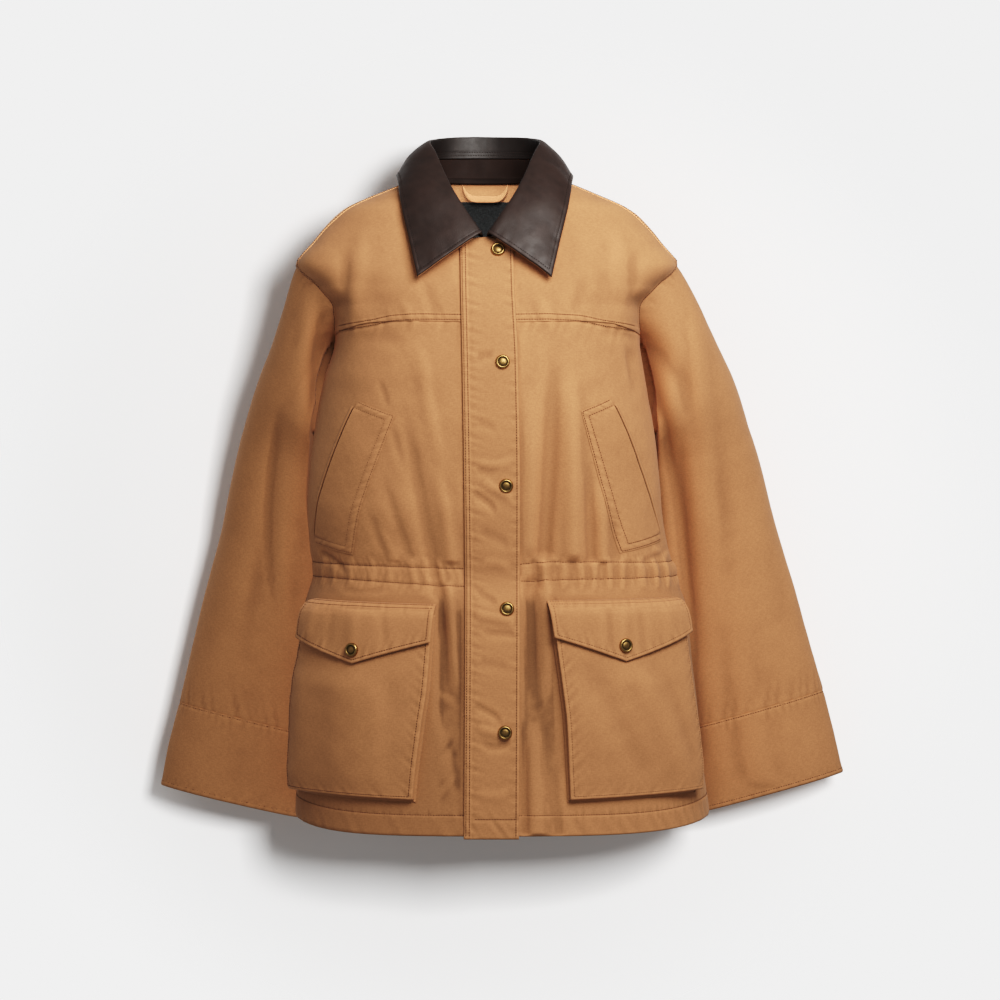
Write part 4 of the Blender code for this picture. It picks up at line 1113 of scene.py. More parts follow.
def make_sheet(name, columns, rows, place, finish, outward, closed=False, wall=1.0 * MM, shade=None):
    """A sheet with its corners at place(column, row), its wall inside, and a weave map in metres."""
    across, down = len(columns) - 1, len(rows) - 1
    mesh = bmesh.new()
    bmesh.ops.create_grid(mesh, x_segments=across, y_segments=down, size=0.5)
    data = bpy.data.meshes.new(name)
    mesh.to_mesh(data)
    mesh.free()
    flat = corners(data)[:, :2] + 0.5
    i, j = np.rint(flat[:, 0] * across).astype(int), np.rint(flat[:, 1] * down).astype(int)
    column, row = np.meshgrid(columns, rows)
    points = place(column, row)
    normal = unit(np.cross(np.gradient(points, axis=1), np.gradient(points, axis=0)))
    turned = (normal * outward(points)).sum() < 0
    normal = -normal if turned else normal
    # The tone is paler on ridges as the cloth wears and darker in hollows as painted shade; shade adds more
    # painted shade.
    tone = standing_out(points, normal)
    if shade is not None:
        tone = tone + shade(column, row)
    data.vertices.foreach_set("co", points[j, i].ravel())
    data.attributes.new("tone", "FLOAT", "POINT").data.foreach_set("value", tone[j, i].astype(np.float32))
    weave = np.stack([running_length(points, 1), running_length(points, 0)], axis=-1)[j, i]
    corner = np.empty(len(data.loops), int)
    data.loops.foreach_get("vertex_index", corner)
    data.uv_layers.new(name="weave").data.foreach_set("uv", weave[corner].astype(np.float32).ravel())
    mesh = bmesh.new()
    mesh.from_mesh(data)
    if closed:
        bmesh.ops.remove_doubles(mesh, verts=mesh.verts, dist=2e-5)
    if turned:
        bmesh.ops.reverse_faces(mesh, faces=mesh.faces)
    mesh.to_mesh(data)
    mesh.free()
    data.materials.append(finish)
    data.shade_smooth()
    made = in_scene(name, data)
    if wall:
        solidify = made.modifiers.new("Wall", "SOLIDIFY")
        solidify.thickness = wall
        solidify.offset = -1
    return made


def from_axis(points):
    return points * np.array([1, 1, 0])


def from_own_middle(points):
    return points - points.mean(axis=1, keepdims=True)


def from_behind(points):
    return 0 * points + np.array([0, -1, 0])


def from_neck_below(points):
    """Away from the middle of the neck, for the lower outer part of the collar alone."""
    low = (points[..., 2] < 0) & (np.abs(points[..., 0]) > 0.05)
    return from_neck(points) * low[..., None]


def dress(made, slot, *nodes):
    """Lets a piece ride on the model and take the place of its nodes; its slot is not used."""
    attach(made, "root")
    if nodes:
        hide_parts(*nodes)
    return made


def canvas_piece(name, columns, rows, place, outward=from_axis, wall=None, **more):
    """A sheet of canvas that takes the place of the node of its name."""
    wall = sizes().canvas_wall if wall is None else wall
    canvas = finish_of("jacket_canvas")
    made = make_sheet(name + "_cloth", columns, rows, place, canvas, outward, wall=wall, **more)
    return dress(made, "canvas", name)


# ---------------------------------------------------------------- stitching

STITCH_PITCH, STITCH_LIFT = 2.8 * MM, 0.16 * MM
STITCHES = {"canvas": {}, "leather": {}}


def sew(group, surface, first, second, step=(0.5, 0.002), slot="canvas"):
    """Keeps the place of each stitch of a line on a surface; first and second are the line's two numbers."""
    share = np.linspace(0, 1, 600)
    ends = (np.atleast_1d(first), np.atleast_1d(second))
    first, second = (np.interp(share, np.linspace(0, 1, len(given)), given) for given in ends)
    line = surface(first, second)
    length = np.concatenate([[0], np.cumsum(np.linalg.norm(np.diff(line, axis=0), axis=1))])
    number = max(int(length[-1] / STITCH_PITCH), 2)
    draw = np.random.default_rng(number + len(STITCHES[slot].get(group, [])))
    at = (np.arange(number) + 0.5 + draw.uniform(-0.05, 0.05, number)) * length[-1] / number
    a, b = np.interp(at, length, first), np.interp(at, length, second)
    near = STITCH_PITCH * 0.3
    ahead = np.stack([np.interp(at + near, length, line[:, k]) for k in range(3)], axis=-1)
    behind = np.stack([np.interp(at - near, length, line[:, k]) for k in range(3)], axis=-1)
    tangent = unit(ahead - behind)
    across = surface(a + step[0], b) - surface(a - step[0], b)
    down = surface(a, b + step[1]) - surface(a, b - step[1])
    side = unit(np.cross(unit(np.cross(across, down)), tangent))
    stitches = (surface(a, b), tangent, side, np.cross(tangent, side), draw.uniform(0.88, 1.1, number))
    STITCHES[slot].setdefault(group, []).append(stitches)


def make_stitches(name, slot, lines, finish):
    """One small stitch, repeated along every line kept under a name."""
    length, thick = sizes().stitch, sizes().thread
    total = sum(len(line[0]) for line in lines)
    mesh = bmesh.new()
    bmesh.ops.create_uvsphere(mesh, u_segments=5, v_segments=4, radius=1.0)
    data = bpy.data.meshes.new(name)
    mesh.to_mesh(data)  # and back, so that the copies' corners follow on in order
    mesh.clear()
    mesh.from_mesh(data)
    single = len(mesh.verts)
    while len(mesh.verts) < total * single:
        bmesh.ops.duplicate(mesh, geom=mesh.verts[:] + mesh.edges[:] + mesh.faces[:])
    mesh.verts.index_update()
    mesh.verts.ensure_lookup_table()
    bmesh.ops.delete(mesh, geom=mesh.verts[total * single :], context="VERTS")
    mesh.to_mesh(data)
    mesh.free()
    ball, placed, done = corners(data).reshape(total, -1, 3), [], 0
    for here, tangent, side, normal, size in lines:
        part = ball[done : done + len(here)]
        done += len(here)
        shape = here[:, None] + part[..., 2:] * tangent[:, None] * (size * length / 2)[:, None, None]
        shape = shape + part[..., :1] * side[:, None] * thick / 2
        shape = shape + (part[..., 1:2] * thick / 2 + STITCH_LIFT) * normal[:, None]
        placed.append(shape.reshape(-1, 3))
    data.vertices.foreach_set("co", np.concatenate(placed).ravel())
    data.materials.append(finish)
    data.shade_smooth()
    dress(in_scene(name, data), slot)


# ---------------------------------------------------------------- finishes


def node(tree, kind, **sockets):
    made = tree.nodes.new(kind)
    for key, value in sockets.items():
        made.inputs[key.replace("_", " ")].default_value = value
    return made


def finish_base(name, colour, roughness, metallic=0.0):
    made = bpy.data.materials.new(name)
    made.use_nodes = True
    shader = made.node_tree.nodes["Principled BSDF"]
    shader.inputs["Base Color"].default_value = (*colour, 1.0)
    shader.inputs["Roughness"].default_value = roughness
    shader.inputs["Metallic"].default_value = metallic
    made.diffuse_color = (*colour, 1.0)
    return made, made.node_tree, shader


def object_place(tree):
    return tree.nodes.new("ShaderNodeTexCoord").outputs["Object"]


def tone_of(tree):
    """How far the surface stands out, with any painted shade added, as make_sheet writes it, or the antiquing
    that the snaps write.
    """
    mesh_tone = tree.nodes.new("ShaderNodeAttribute")
    mesh_tone.attribute_name = "tone"
    return mesh_tone.outputs["Fac"]


def mapped(tree, vector, **sockets):
    """A vector turned, scaled or moved."""
    made = node(tree, "ShaderNodeMapping", **sockets)
    tree.links.new(vector, made.inputs["Vector"])
    return made.outputs["Vector"]


def ramp(tree, source, low, high, low_value, high_value):
    made = node(tree, "ShaderNodeMapRange", From_Min=low, From_Max=high, To_Min=low_value, To_Max=high_value)
    made.interpolation_type = "SMOOTHSTEP"
    tree.links.new(source, made.inputs["Value"])
    return made.outputs["Result"]


def sums(tree, kind, first, second):
    made = tree.nodes.new("ShaderNodeMath")
    made.operation = kind
    for socket, value in zip(made.inputs, (first, second)):
        if isinstance(value, float):
            socket.default_value = value
        else:
            tree.links.new(value, socket)
    return made.outputs[0]


def noise(tree, vector, scale, detail=3.0, roughness=0.55):
    made = node(tree, "ShaderNodeTexNoise", Scale=scale, Detail=detail, Roughness=roughness)
    tree.links.new(vector, made.inputs["Vector"])
    return made.outputs["Fac"]


def shaded(tree, shader, colour, light):
    """The colour, lighter or darker by a factor that varies over the surface."""
    mixed = tree.nodes.new("ShaderNodeMix")
    mixed.data_type = "RGBA"
    mixed.blend_type = "MULTIPLY"
    mixed.inputs["Factor"].default_value = 1.0
    mixed.inputs["A"].default_value = (*colour, 1.0)
    tree.links.new(light, mixed.inputs["B"])
    tree.links.new(mixed.outputs["Result"], shader.inputs["Base Color"])


def bumped(tree, shader, height, strength, distance):
    made = node(tree, "ShaderNodeBump", Strength=strength, Distance=distance)
    tree.links.new(height, made.inputs["Height"])
    tree.links.new(made.outputs["Normal"], shader.inputs["Normal"])


def woven(name, colour, roughness=0.90, pitch=1.0 * MM, depth=0.07 * MM, mottle=0.022, wear_and_shade=0.10, sheen=0.10):
    """A twill cloth: diagonal ribs, uneven yarn, patchy dye, paler along its ridges as it wears, and darker
    in its hollows and in deep recesses, which is painted shade.
    """
    made, tree, shader = finish_base(name, colour, roughness)
    shader.inputs["Specular IOR Level"].default_value = 0.25
    shader.inputs["Sheen Weight"].default_value = sheen
    shader.inputs["Sheen Roughness"].default_value = 0.5
    shader.inputs["Sheen Tint"].default_value = (1.0, 0.90, 0.78, 1.0)
    weave = tree.nodes.new("ShaderNodeUVMap")
    weave.uv_map = "weave"
    weave = weave.outputs["UV"]
    ribs = node(tree, "ShaderNodeTexWave", Scale=0.314 / pitch, Distortion=1.1, Detail=1.0, Detail_Scale=2.0)
    tree.links.new(mapped(tree, weave, Rotation=(0, 0, math.radians(34))), ribs.inputs["Vector"])
    yarn = noise(tree, mapped(tree, weave, Scale=(1.0, 0.35, 1.0)), 1 / (1.1 * MM), 3.0, 0.6)
    weft = noise(tree, mapped(tree, weave, Scale=(0.30, 1.0, 1.0)), 1 / (1.2 * MM), 2.0, 0.6)
    grain = sums(tree, "ADD", yarn, weft)
    height = sums(tree, "ADD", sums(tree, "MULTIPLY", ribs.outputs["Fac"], 0.5), grain)
    bumped(tree, shader, height, 0.6, depth)
    place, mesh_tone = object_place(tree), tone_of(tree)
    broad = ramp(tree, noise(tree, place, 13.0, 2.0), 0.3, 0.7, 1 - mottle * 0.7, 1 + mottle * 0.7)
    patch = ramp(tree, noise(tree, place, 240.0, 4.0, 0.6), 0.3, 0.7, 1 - mottle, 1 + mottle)
    speck = ramp(tree, grain, 0.75, 1.25, 1 - mottle * 3.4, 1 + mottle * 3.4)
    # paler on ridges as the cloth wears, darker in hollows as painted shade
    wear_and_painted_shade = ramp(tree, mesh_tone, -1.0, 1.0, 1 - wear_and_shade * 1.5, 1 + wear_and_shade)
    # painted shade: far darker where the tone falls below -1.2, in the pocket openings and under the waist
    deep = ramp(tree, mesh_tone, -4.0, -1.2, 0.10, 1.0)
    dye, speck_wear_and_shade = sums(tree, "MULTIPLY", broad, patch), sums(tree, "MULTIPLY", speck, wear_and_painted_shade)
    shaded(tree, shader, colour, sums(tree, "MULTIPLY", sums(tree, "MULTIPLY", dye, speck_wear_and_shade), deep))
    return made


def grained(name, colour, roughness=0.50, specular=0.45):
    """A dark oiled leather: pebbled grain with finer wrinkles, paler on its ridges as it wears, and darker in
    its hollows and on the inside of the collar, which is painted shade.
    """
    made, tree, shader = finish_base(name, colour, roughness)
    shader.inputs["Specular IOR Level"].default_value = specular
    place = object_place(tree)
    cells = node(tree, "ShaderNodeTexVoronoi", Scale=620.0)
    cells.feature = "DISTANCE_TO_EDGE"
    tree.links.new(place, cells.inputs["Vector"])
    pebble = ramp(tree, cells.outputs["Distance"], 0.0, 0.35, 0.0, 1.0)
    wrinkle = noise(tree, place, 150.0, 5.0, 0.65)
    bumped(tree, shader, sums(tree, "ADD", sums(tree, "MULTIPLY", pebble, 0.35), wrinkle), 0.5, 0.22 * MM)
    # paler on ridges as the leather wears; darker in hollows and on the inside of the collar as painted shade
    wear_and_painted_shade = ramp(tree, tone_of(tree), -1.6, 1.0, 0.42, 1.25)
    patch = ramp(tree, noise(tree, place, 40.0, 4.0, 0.6), 0.3, 0.7, 0.92, 1.09)
    shaded(tree, shader, colour, sums(tree, "MULTIPLY", wear_and_painted_shade, patch))
    gloss = ramp(tree, noise(tree, place, 95.0, 3.0), 0.3, 0.7, roughness - 0.04, roughness + 0.05)
    tree.links.new(gloss, shader.inputs["Roughness"])
    return made


def thread(name, colour):
    made, tree, shader = finish_base(name, colour, 0.7)
    fibre = noise(tree, object_place(tree), 900.0, 2.0)
    shaded(tree, shader, colour, ramp(tree, fibre, 0.3, 0.7, 0.82, 1.15))
    return made


def cast(name, colour):
    """Antiqued brass: bright on its rim and dark in its recess."""
    made, tree, shader = finish_base(name, colour, 0.34, 1.0)
    place, mesh_tone = object_place(tree), tone_of(tree)
    stain = ramp(tree, noise(tree, place, 420.0, 3.0, 0.6), 0.3, 0.7, 0.72, 1.12)
    shaded(tree, shader, colour, sums(tree, "MULTIPLY", stain, ramp(tree, mesh_tone, 0.0, 1.0, 0.16, 1.0)))
    tree.links.new(ramp(tree, mesh_tone, 0.0, 1.0, 0.6, 0.30), shader.inputs["Roughness"])
    bumped(tree, shader, noise(tree, place, 700.0, 2.0), 0.3, 0.12 * MM)
    return made


# ---------------------------------------------------------------- settings


class JacketSizes(bpy.types.PropertyGroup):
    """Sizes of cloth, leather and stitching."""

    canvas_wall: bpy.props.FloatProperty(
        name="Canvas", description="Thickness of the single canvas",
        default=1.0 * MM, min=0.4 * MM, max=3 * MM, unit="LENGTH",
    )
    double_wall: bpy.props.FloatProperty(
        name="Doubled canvas", description="Thickness of placket, cuffs and flaps",
        default=1.5 * MM, min=0.5 * MM, max=4 * MM, unit="LENGTH",
    )
    leather_wall: bpy.props.FloatProperty(
        name="Leather", description="Thickness of the collar leather",
        default=1.6 * MM, min=0.5 * MM, max=4 * MM, unit="LENGTH",
    )
    stitch: bpy.props.FloatProperty(
        name="Stitch", description="Length of one stitch that shows",
        default=2.1 * MM, min=1 * MM, max=5 * MM, unit="LENGTH",
    )
    thread: bpy.props.FloatProperty(
        name="Thread", description="Thickness of the thread",
        default=0.85 * MM, min=0.2 * MM, max=2 * MM, unit="LENGTH",
    )


class JacketColours(bpy.types.PropertyGroup):
    """Colours of the finishes, and strength of the lights."""

    canvas: bpy.props.FloatVectorProperty(
        name="Canvas", description="Dye of the canvas",
        default=(0.475, 0.236, 0.117), size=3, subtype="COLOR", min=0, max=1,
    )
    # The thread is darker than its own dye, so that the stitches also paint the shade of the grooves they lie
    # in.
    thread: bpy.props.FloatVectorProperty(
        name="Thread", description="Thread on the canvas",
        default=(0.105, 0.038, 0.013), size=3, subtype="COLOR", min=0, max=1,
    )
    leather: bpy.props.FloatVectorProperty(
        name="Leather", description="Collar leather",
        default=(0.031, 0.0175, 0.0140), size=3, subtype="COLOR", min=0, max=1,
    )
    label: bpy.props.FloatVectorProperty(
        name="Label", description="Cloth of the neck label",
        default=(0.022, 0.024, 0.025), size=3, subtype="COLOR", min=0, max=1,
    )
    brass: bpy.props.FloatVectorProperty(
        name="Brass", description="Snaps",
        default=(0.42, 0.27, 0.11), size=3, subtype="COLOR", min=0, max=1,
    )
    key: bpy.props.FloatProperty(
        name="Key light", description="Power of the main light", default=15.4, min=0, max=2000
    )
    fill: bpy.props.FloatProperty(
        name="Fill light", description="Power of the light on the other side", default=5.0, min=0, max=2000
    )
    ground: bpy.props.FloatProperty(
        name="Ground light", description="Power of the light on the ground behind",
        default=215.0, min=0, max=2000,
    )
    neck: bpy.props.FloatProperty(
        name="Neck light", description="Power of the light into the neck", default=110.0, min=0, max=2000
    )
    room: bpy.props.FloatProperty(
        name="Room", description="Strength of the light from all round", default=0.23, min=0, max=5
    )


def sizes():
    return bpy.context.scene.jacket_sizes


def colours():
    return bpy.context.scene.jacket_colours


def finish_of(name):
    """The named finish, made when it is first asked for."""
    if name in bpy.data.materials:
        return bpy.data.materials[name]
    c = colours()
    # The inside leather is a darker copy of the collar leather: painted shade on the stand inside the neck.
    dark = tuple(0.8 * v for v in c.leather)
    fine = {"pitch": 0.7 * MM, "depth": 0.05 * MM, "mottle": 0.12, "wear_and_shade": 0.05, "sheen": 0.0}
    makers = {
        "jacket_canvas": partial(woven, colour=tuple(c.canvas)),
        "jacket_thread": partial(thread, colour=tuple(c.thread)),
        "jacket_leather": partial(grained, colour=tuple(c.leather)),
        "jacket_leather_inside": partial(grained, colour=dark, roughness=0.6, specular=0.10),
        "jacket_leather_thread": partial(thread, colour=tuple(1.25 * v for v in c.leather)),
        "jacket_label": partial(woven, colour=tuple(c.label), roughness=0.8, **fine),
        "jacket_brass": partial(cast, colour=tuple(c.brass)),
    }
    return makers[name](name)


# ---------------------------------------------------------------- the stage

VIEW_DISTANCE, VIEW_WIDTH, SENSOR = 5.0, 1.08, 36.0  # the last is in millimetres, as Blender has it
VIEW_X, VIEW_LEVEL = 0.01404, -0.3348
WHITE_LEVEL = 1.5
CAMERA_CURVE = (
    # light, and how bright it is shown
    (0.05, 0.030),
    (0.10, 0.080),
    (0.18, 0.178),
    (0.28, 0.300),
    (0.40, 0.435),
    (0.60, 0.595),
    (0.87, 0.750),
    (1.12, 0.871),
)
GROUND_BEHIND, GROUND_LEVEL, GROUND_RADIUS = 0.142, -0.38, 1.6
KEYS = (
    # the sleeves' own keys are as the main one: name, share of its power, x
    ("Key", 1.0, 0.55),
    ("Right sleeve key", 0.62, 0.55),
    ("Left sleeve key", 1.0, 0.30),
)


def light_link(made, name, state="INCLUDE"):
    """Puts a piece on the list of what a lamp falls on or is stopped by, to take it or to leave it out."""
    listed = bpy.data.collections[name]
    listed.objects.link(made)
    listed.collection_objects[len(listed.objects) - 1].light_linking.link_state = state


class JACKET_OT_stage(bpy.types.Operator):
    """Sets the camera, the lights, the pale room and the ground behind the jacket"""

    bl_idname = "jacket.stage"
    bl_label = "Stage"

    def execute(self, context):
        scene, power = context.scene, colours()
        lens = bpy.data.cameras.new("Camera")
        lens.sensor_width, lens.lens = SENSOR, SENSOR * VIEW_DISTANCE / VIEW_WIDTH
        lens.clip_end = 60
        scene.camera = in_scene("Camera", lens)
        scene.camera.location = (VIEW_X, -VIEW_DISTANCE, VIEW_LEVEL)
        scene.camera.rotation_euler = (math.radians(90), 0, 0)
        self.tone(scene.view_settings)
        ground = self.ground()
        for name, share, x in KEYS:
            place, aim, colour = (x, -1.28, 0.74), (0, 0, 0.05), (1, 0.975, 0.94)
            made = self.lamp(name, power.key * share, 1.1, place, aim, colour, ground)
            made.data.spread = math.radians(115)
            made.light_linking.blocker_collection = bpy.data.collections.new(name + " stopped by")
        self.lamp("Fill", power.fill, 2.0, (-2.6, -2.4, 0.6), (0, 0, -0.35), (1, 0.97, 0.93), ground)
        place, aim = (1.00, -4.0, 0.35), (0, 0, GROUND_LEVEL)
        self.lamp("Ground light", power.ground, 0.8, place, aim, (1, 1, 1), ground, "INCLUDE")
        self.lamp("Neck light", power.neck, 0.6, (0.1, -3.0, 0.5), (0, 0.05, 0), (1, 0.98, 0.95), ground)
        scene.world = self.room(power.room)
        return {"FINISHED"}

    @staticmethod
    def room(strength):
        """Soft light from all round, which the camera sees as plain white."""
        world = bpy.data.worlds.new("Room")
        world.use_nodes = True
        tree = world.node_tree
        seen = tree.nodes["Background"]
        seen.inputs["Color"].default_value = (1.12, 1.12, 1.12, 1)
        lit = node(tree, "ShaderNodeBackground", Color=(1, 0.985, 0.965, 1), Strength=strength)
        path, mix = tree.nodes.new("ShaderNodeLightPath"), tree.nodes.new("ShaderNodeMixShader")
        tree.links.new(path.outputs["Is Camera Ray"], mix.inputs["Fac"])
        tree.links.new(lit.outputs[0], mix.inputs[1])
        tree.links.new(seen.outputs[0], mix.inputs[2])
        tree.links.new(mix.outputs[0], tree.nodes["World Output"].inputs["Surface"])
        return world

    @staticmethod
    def tone(settings):
        """A soft camera curve: deeper, richer shades and eased highlights."""
        settings.view_transform = "Standard"
        settings.look = "None"
        settings.use_curve_mapping = True
        mapping = settings.curve_mapping
        mapping.white_level = (WHITE_LEVEL, WHITE_LEVEL, WHITE_LEVEL)
        line = mapping.curves[3]
        for seen, shown in CAMERA_CURVE:
            line.points.new(seen / WHITE_LEVEL, shown)
        line.points[0].location = (0.0, 0.0)
        line.points[len(line.points) - 1].location = (1.0, 0.99)
        mapping.update()

    @staticmethod
    def lamp(name, power, size, place, aim, colour, ground, state="EXCLUDE"):
        """A soft square lamp, with what it lights and what it leaves dark kept in a collection."""
        data = bpy.data.lights.new(name, "AREA")
        data.energy, data.size, data.color = power, size, colour
        made = in_scene(name, data)
        made.location = place
        made.rotation_euler = (made.location - Vector(aim)).to_track_quat("Z", "Y").to_euler()
        made.light_linking.receiver_collection = bpy.data.collections.new(name + " falls on")
        light_link(ground, name + " falls on", state)
        return made

    @staticmethod
    def ground():
        """The pale ground close behind the jacket, clear from its far side and at its rim."""
        mesh = bmesh.new()
        bmesh.ops.create_circle(mesh, cap_ends=True, segments=96, radius=GROUND_RADIUS)
        upright = Matrix.Rotation(math.radians(90), 3, "X")
        bmesh.ops.rotate(mesh, verts=mesh.verts, cent=(0, 0, 0), matrix=upright)
        bmesh.ops.translate(mesh, verts=mesh.verts, vec=(0, GROUND_BEHIND, GROUND_LEVEL))
        data = bpy.data.meshes.new("ground")
        mesh.to_mesh(data)
        mesh.free()
        pale, tree, shader = finish_base("ground_pale", (0.80, 0.80, 0.80), 0.95)
        shader.inputs["Specular IOR Level"].default_value = 0.1
        shader.inputs["Emission Color"].default_value = (1, 1, 1, 1)
        shader.inputs["Emission Strength"].default_value = 0.06
        reach = tree.nodes.new("ShaderNodeVectorMath")
        reach.operation = "LENGTH"
        centred = mapped(tree, object_place(tree), Location=(0, -GROUND_BEHIND, -GROUND_LEVEL))
        tree.links.new(centred, reach.inputs[0])
        near = ramp(tree, reach.outputs["Value"], 0.42, 0.62, 1.0, 0.0)
        facing = tree.nodes.new("ShaderNodeNewGeometry").outputs["Backfacing"]
        shown = sums(tree, "MULTIPLY", near, sums(tree, "SUBTRACT", 1.0, facing))
        tree.links.new(shown, shader.inputs["Alpha"])
        data.materials.append(pale)
        made = in_scene("ground", data)
        return made


# ---------------------------------------------------------------- the pieces


class JACKET_OT_yokes(bpy.types.Operator):
    """Makes both front yokes, lapped over the fronts"""

    bl_idname = "jacket.yokes"
    bl_label = "Yokes"

    def execute(self, context):
        for side, word in SIDES:
            self.yoke(side, word)
        return {"FINISHED"}

    @staticmethod
    def yoke(side, word):
        inner_x, foot = INNER_EDGE[side], -0.152
        rows = graded(foot, 0.0125, 96, (foot + 4 * MM, -0.080), 9 * MM, 1.2)

        def place(u, v):
            seam_level = yoke_seam_level(inner_x + (side * FRONT_REACH - inner_x) * u)
            level = v + (seam_level - foot) * smoothstep((SHOULDER_POINT - v) / (SHOULDER_POINT - foot))
            neck_x = side * NECKLINE.at("out", level)
            neck_x = np.minimum(neck_x, inner_x) if side < 0 else neck_x
            inner = angle_at(np.where(level > NECKLINE.place[0], neck_x, inner_x), level)
            outer = outer_angle(level, "front") + 1.3 * smoothstep((level - SHOULDER_POINT - 0.002) / 0.006)
            return yoke_at(side, inner + (side * outer - inner) * u, level)

        made = canvas_piece("yoke_" + word, graded(0, 1, 84, (0.97,), 0.06, 1.0), rows, place)

        def above_seam(x, above):
            level = yoke_seam_level(x) + above
            return yoke_at(side, angle_at(x, level), level)

        for row in YOKE_ROWS:
            sew("seams", above_seam, (inner_x, side * 0.158), row * MM, step=(0.002, 0.001))
        for row in ARMHOLE_ROWS:
            angle, level = armhole(side, np.linspace(3, 83, 60), row * MM)
            keep = level > yoke_seam_level(torso_ring(angle, level)[..., 0]) + 3 * MM
            sew("seams", partial(yoke_at, side), angle[keep], level[keep])


class JACKET_OT_fronts(bpy.types.Operator):
    """Makes both lower fronts, creased and gathered at the waist"""

    bl_idname = "jacket.fronts"
    bl_label = "Fronts"

    def execute(self, context):
        for side, word in SIDES:
            self.front(side, word)
        return {"FINISHED"}

    @staticmethod
    def front(side, word):
        inner_x, foot, top = INNER_EDGE[side], -0.690, -0.140
        rows = graded(foot, top, 210, (-0.402, -0.421, foot, foot + HEM_ROW * MM, -0.150), 10 * MM, 1.5)

        def place(u, v):
            under_yoke = yoke_seam_level(inner_x + (side * FRONT_REACH - inner_x) * u) + 6 * MM
            level = v + (under_yoke - top) * smoothstep((v - ARMPIT) / (top - ARMPIT))
            down = np.clip((ARMPIT - v) / (ARMPIT - foot), 0, 1)
            level = level + (hem_level(side * SIDE_SEAM * u) - foot) * down
            inner = angle_at(inner_x, level)
            outer = side * (outer_angle(level, "front") + 1.2 * smoothstep((ARMPIT - 0.004 - level) / 0.008))
            return front_at(side, inner + (outer - inner) * u, level)

        columns, shade = graded(0, 1, 118, (0.03, 0.98), 0.05, 1.2), partial(waist_shade, side)
        made = canvas_piece("front_" + word, columns, rows, place, shade=shade)
        if side > 0:
            light_link(made, "Left sleeve key stopped by")
        surface = partial(front_at, side)
        hem = np.linspace(angle_at(inner_x, -0.66), side * 97, 60)
        sew("hem", surface, hem, hem_level(hem) + HEM_ROW * MM)
        across = np.linspace(angle_at(inner_x, -0.41), side * 97.5, 90)
        for edge in ("top", "foot"):
            sew("waist", surface, across, CASING.at(edge, across))


class JACKET_OT_back(bpy.types.Operator):
    """Makes the back in one piece, over the shoulders and round to the side seams"""

    bl_idname = "jacket.back"
    bl_label = "Back"

    def execute(self, context):
        foot = -0.700
        rows = graded(foot, 0.013, 208, (-0.402, -0.420, foot, -0.676, SHOULDER_POINT), 10 * MM, 1.2)

        def place(u, v):
            limit = outer_angle(v, "back")
            angle = limit + (360 - 2 * limit) * u
            level = v + (hem_level(angle) - foot) * np.clip((ARMPIT - v) / (ARMPIT - foot), 0, 1)
            return back_at(angle, level)

        made = canvas_piece("back", graded(0, 1, 156, (0.02, 0.98), 0.03, 1.2), rows, place)
        light_link(made, "Neck light falls on")
        hem = np.linspace(99, 261, 160)
        sew("hem", back_at, hem, hem_level(hem) + HEM_ROW * MM)
        across = np.linspace(98.5, 261.5, 160)
        for edge in ("top", "foot"):
            sew("waist", back_at, across, CASING.at(edge, half_turned(across)))
        for side in (-1, 1):
            self.edges(side)
        return {"FINISHED"}

    @staticmethod
    def edges(side):
        """Sews one side seam and shoulder seam, and the armhole behind and on the front."""
        for row in SIDE_ROWS:
            sew("seams", back_at, side * (SIDE_SEAM + row * MM / DEGREE) % 360, (-0.668, -0.262))
        levels = np.linspace(-0.078, 0.010, 40)
        for row in SHOULDER_ROWS:
            angle = side * (SHOULDER_SEAM.at("angle", levels) + row * MM / metres_a_degree(levels))
            sew("seams", back_at, angle % 360, levels)
        for row in ARMHOLE_ROWS:
            angle, level = armhole(side, np.linspace(196, 352, 80), row * MM)
            sew("seams", back_at, angle % 360, level)
            angle, level = armhole(side, np.linspace(84, 168, 60), row * MM)
            keep = level < yoke_seam_level(torso_ring(angle, level)[..., 0]) - 2 * MM
            sew("seams", partial(front_at, side), angle[keep], level[keep])


class JACKET_OT_placket(bpy.types.Operator):
    """Makes the placket with its sewn ridge and its free edge"""

    bl_idname = "jacket.placket"
    bl_label = "Placket"

    def execute(self, context):
        foot, top = PLACKET_FOOT, -0.0575

        def place(u, v):
            seam_x, edge_x = PLACKET.at("seam", v), PLACKET.at("edge", v)
            return placket_at(seam_x + (edge_x - seam_x) * u, v)

        columns = graded(0, 1, 34, (0.02, 0.15, 0.96), 0.06, 1.0)
        rows = graded(foot, top, 250, (foot,), 8 * MM, 1.0)
        made = canvas_piece("placket", columns, rows, place, wall=sizes().double_wall)
        levels = np.linspace(foot + 3 * MM, top, 120)
        lines = [PLACKET.at("seam", levels) + row * MM for row in PLACKET_SEAM_ROWS]
        for x in (*lines, PLACKET.at("edge", levels) - PLACKET_EDGE_ROW * MM):
            sew("placket", placket_at, x, levels, step=(0.002, 0.002))
        sew("hem", placket_at, (-0.0125, 0.0305), foot + PLACKET_FOOT_ROW * MM, step=(0.002, 0.002))
        return {"FINISHED"}


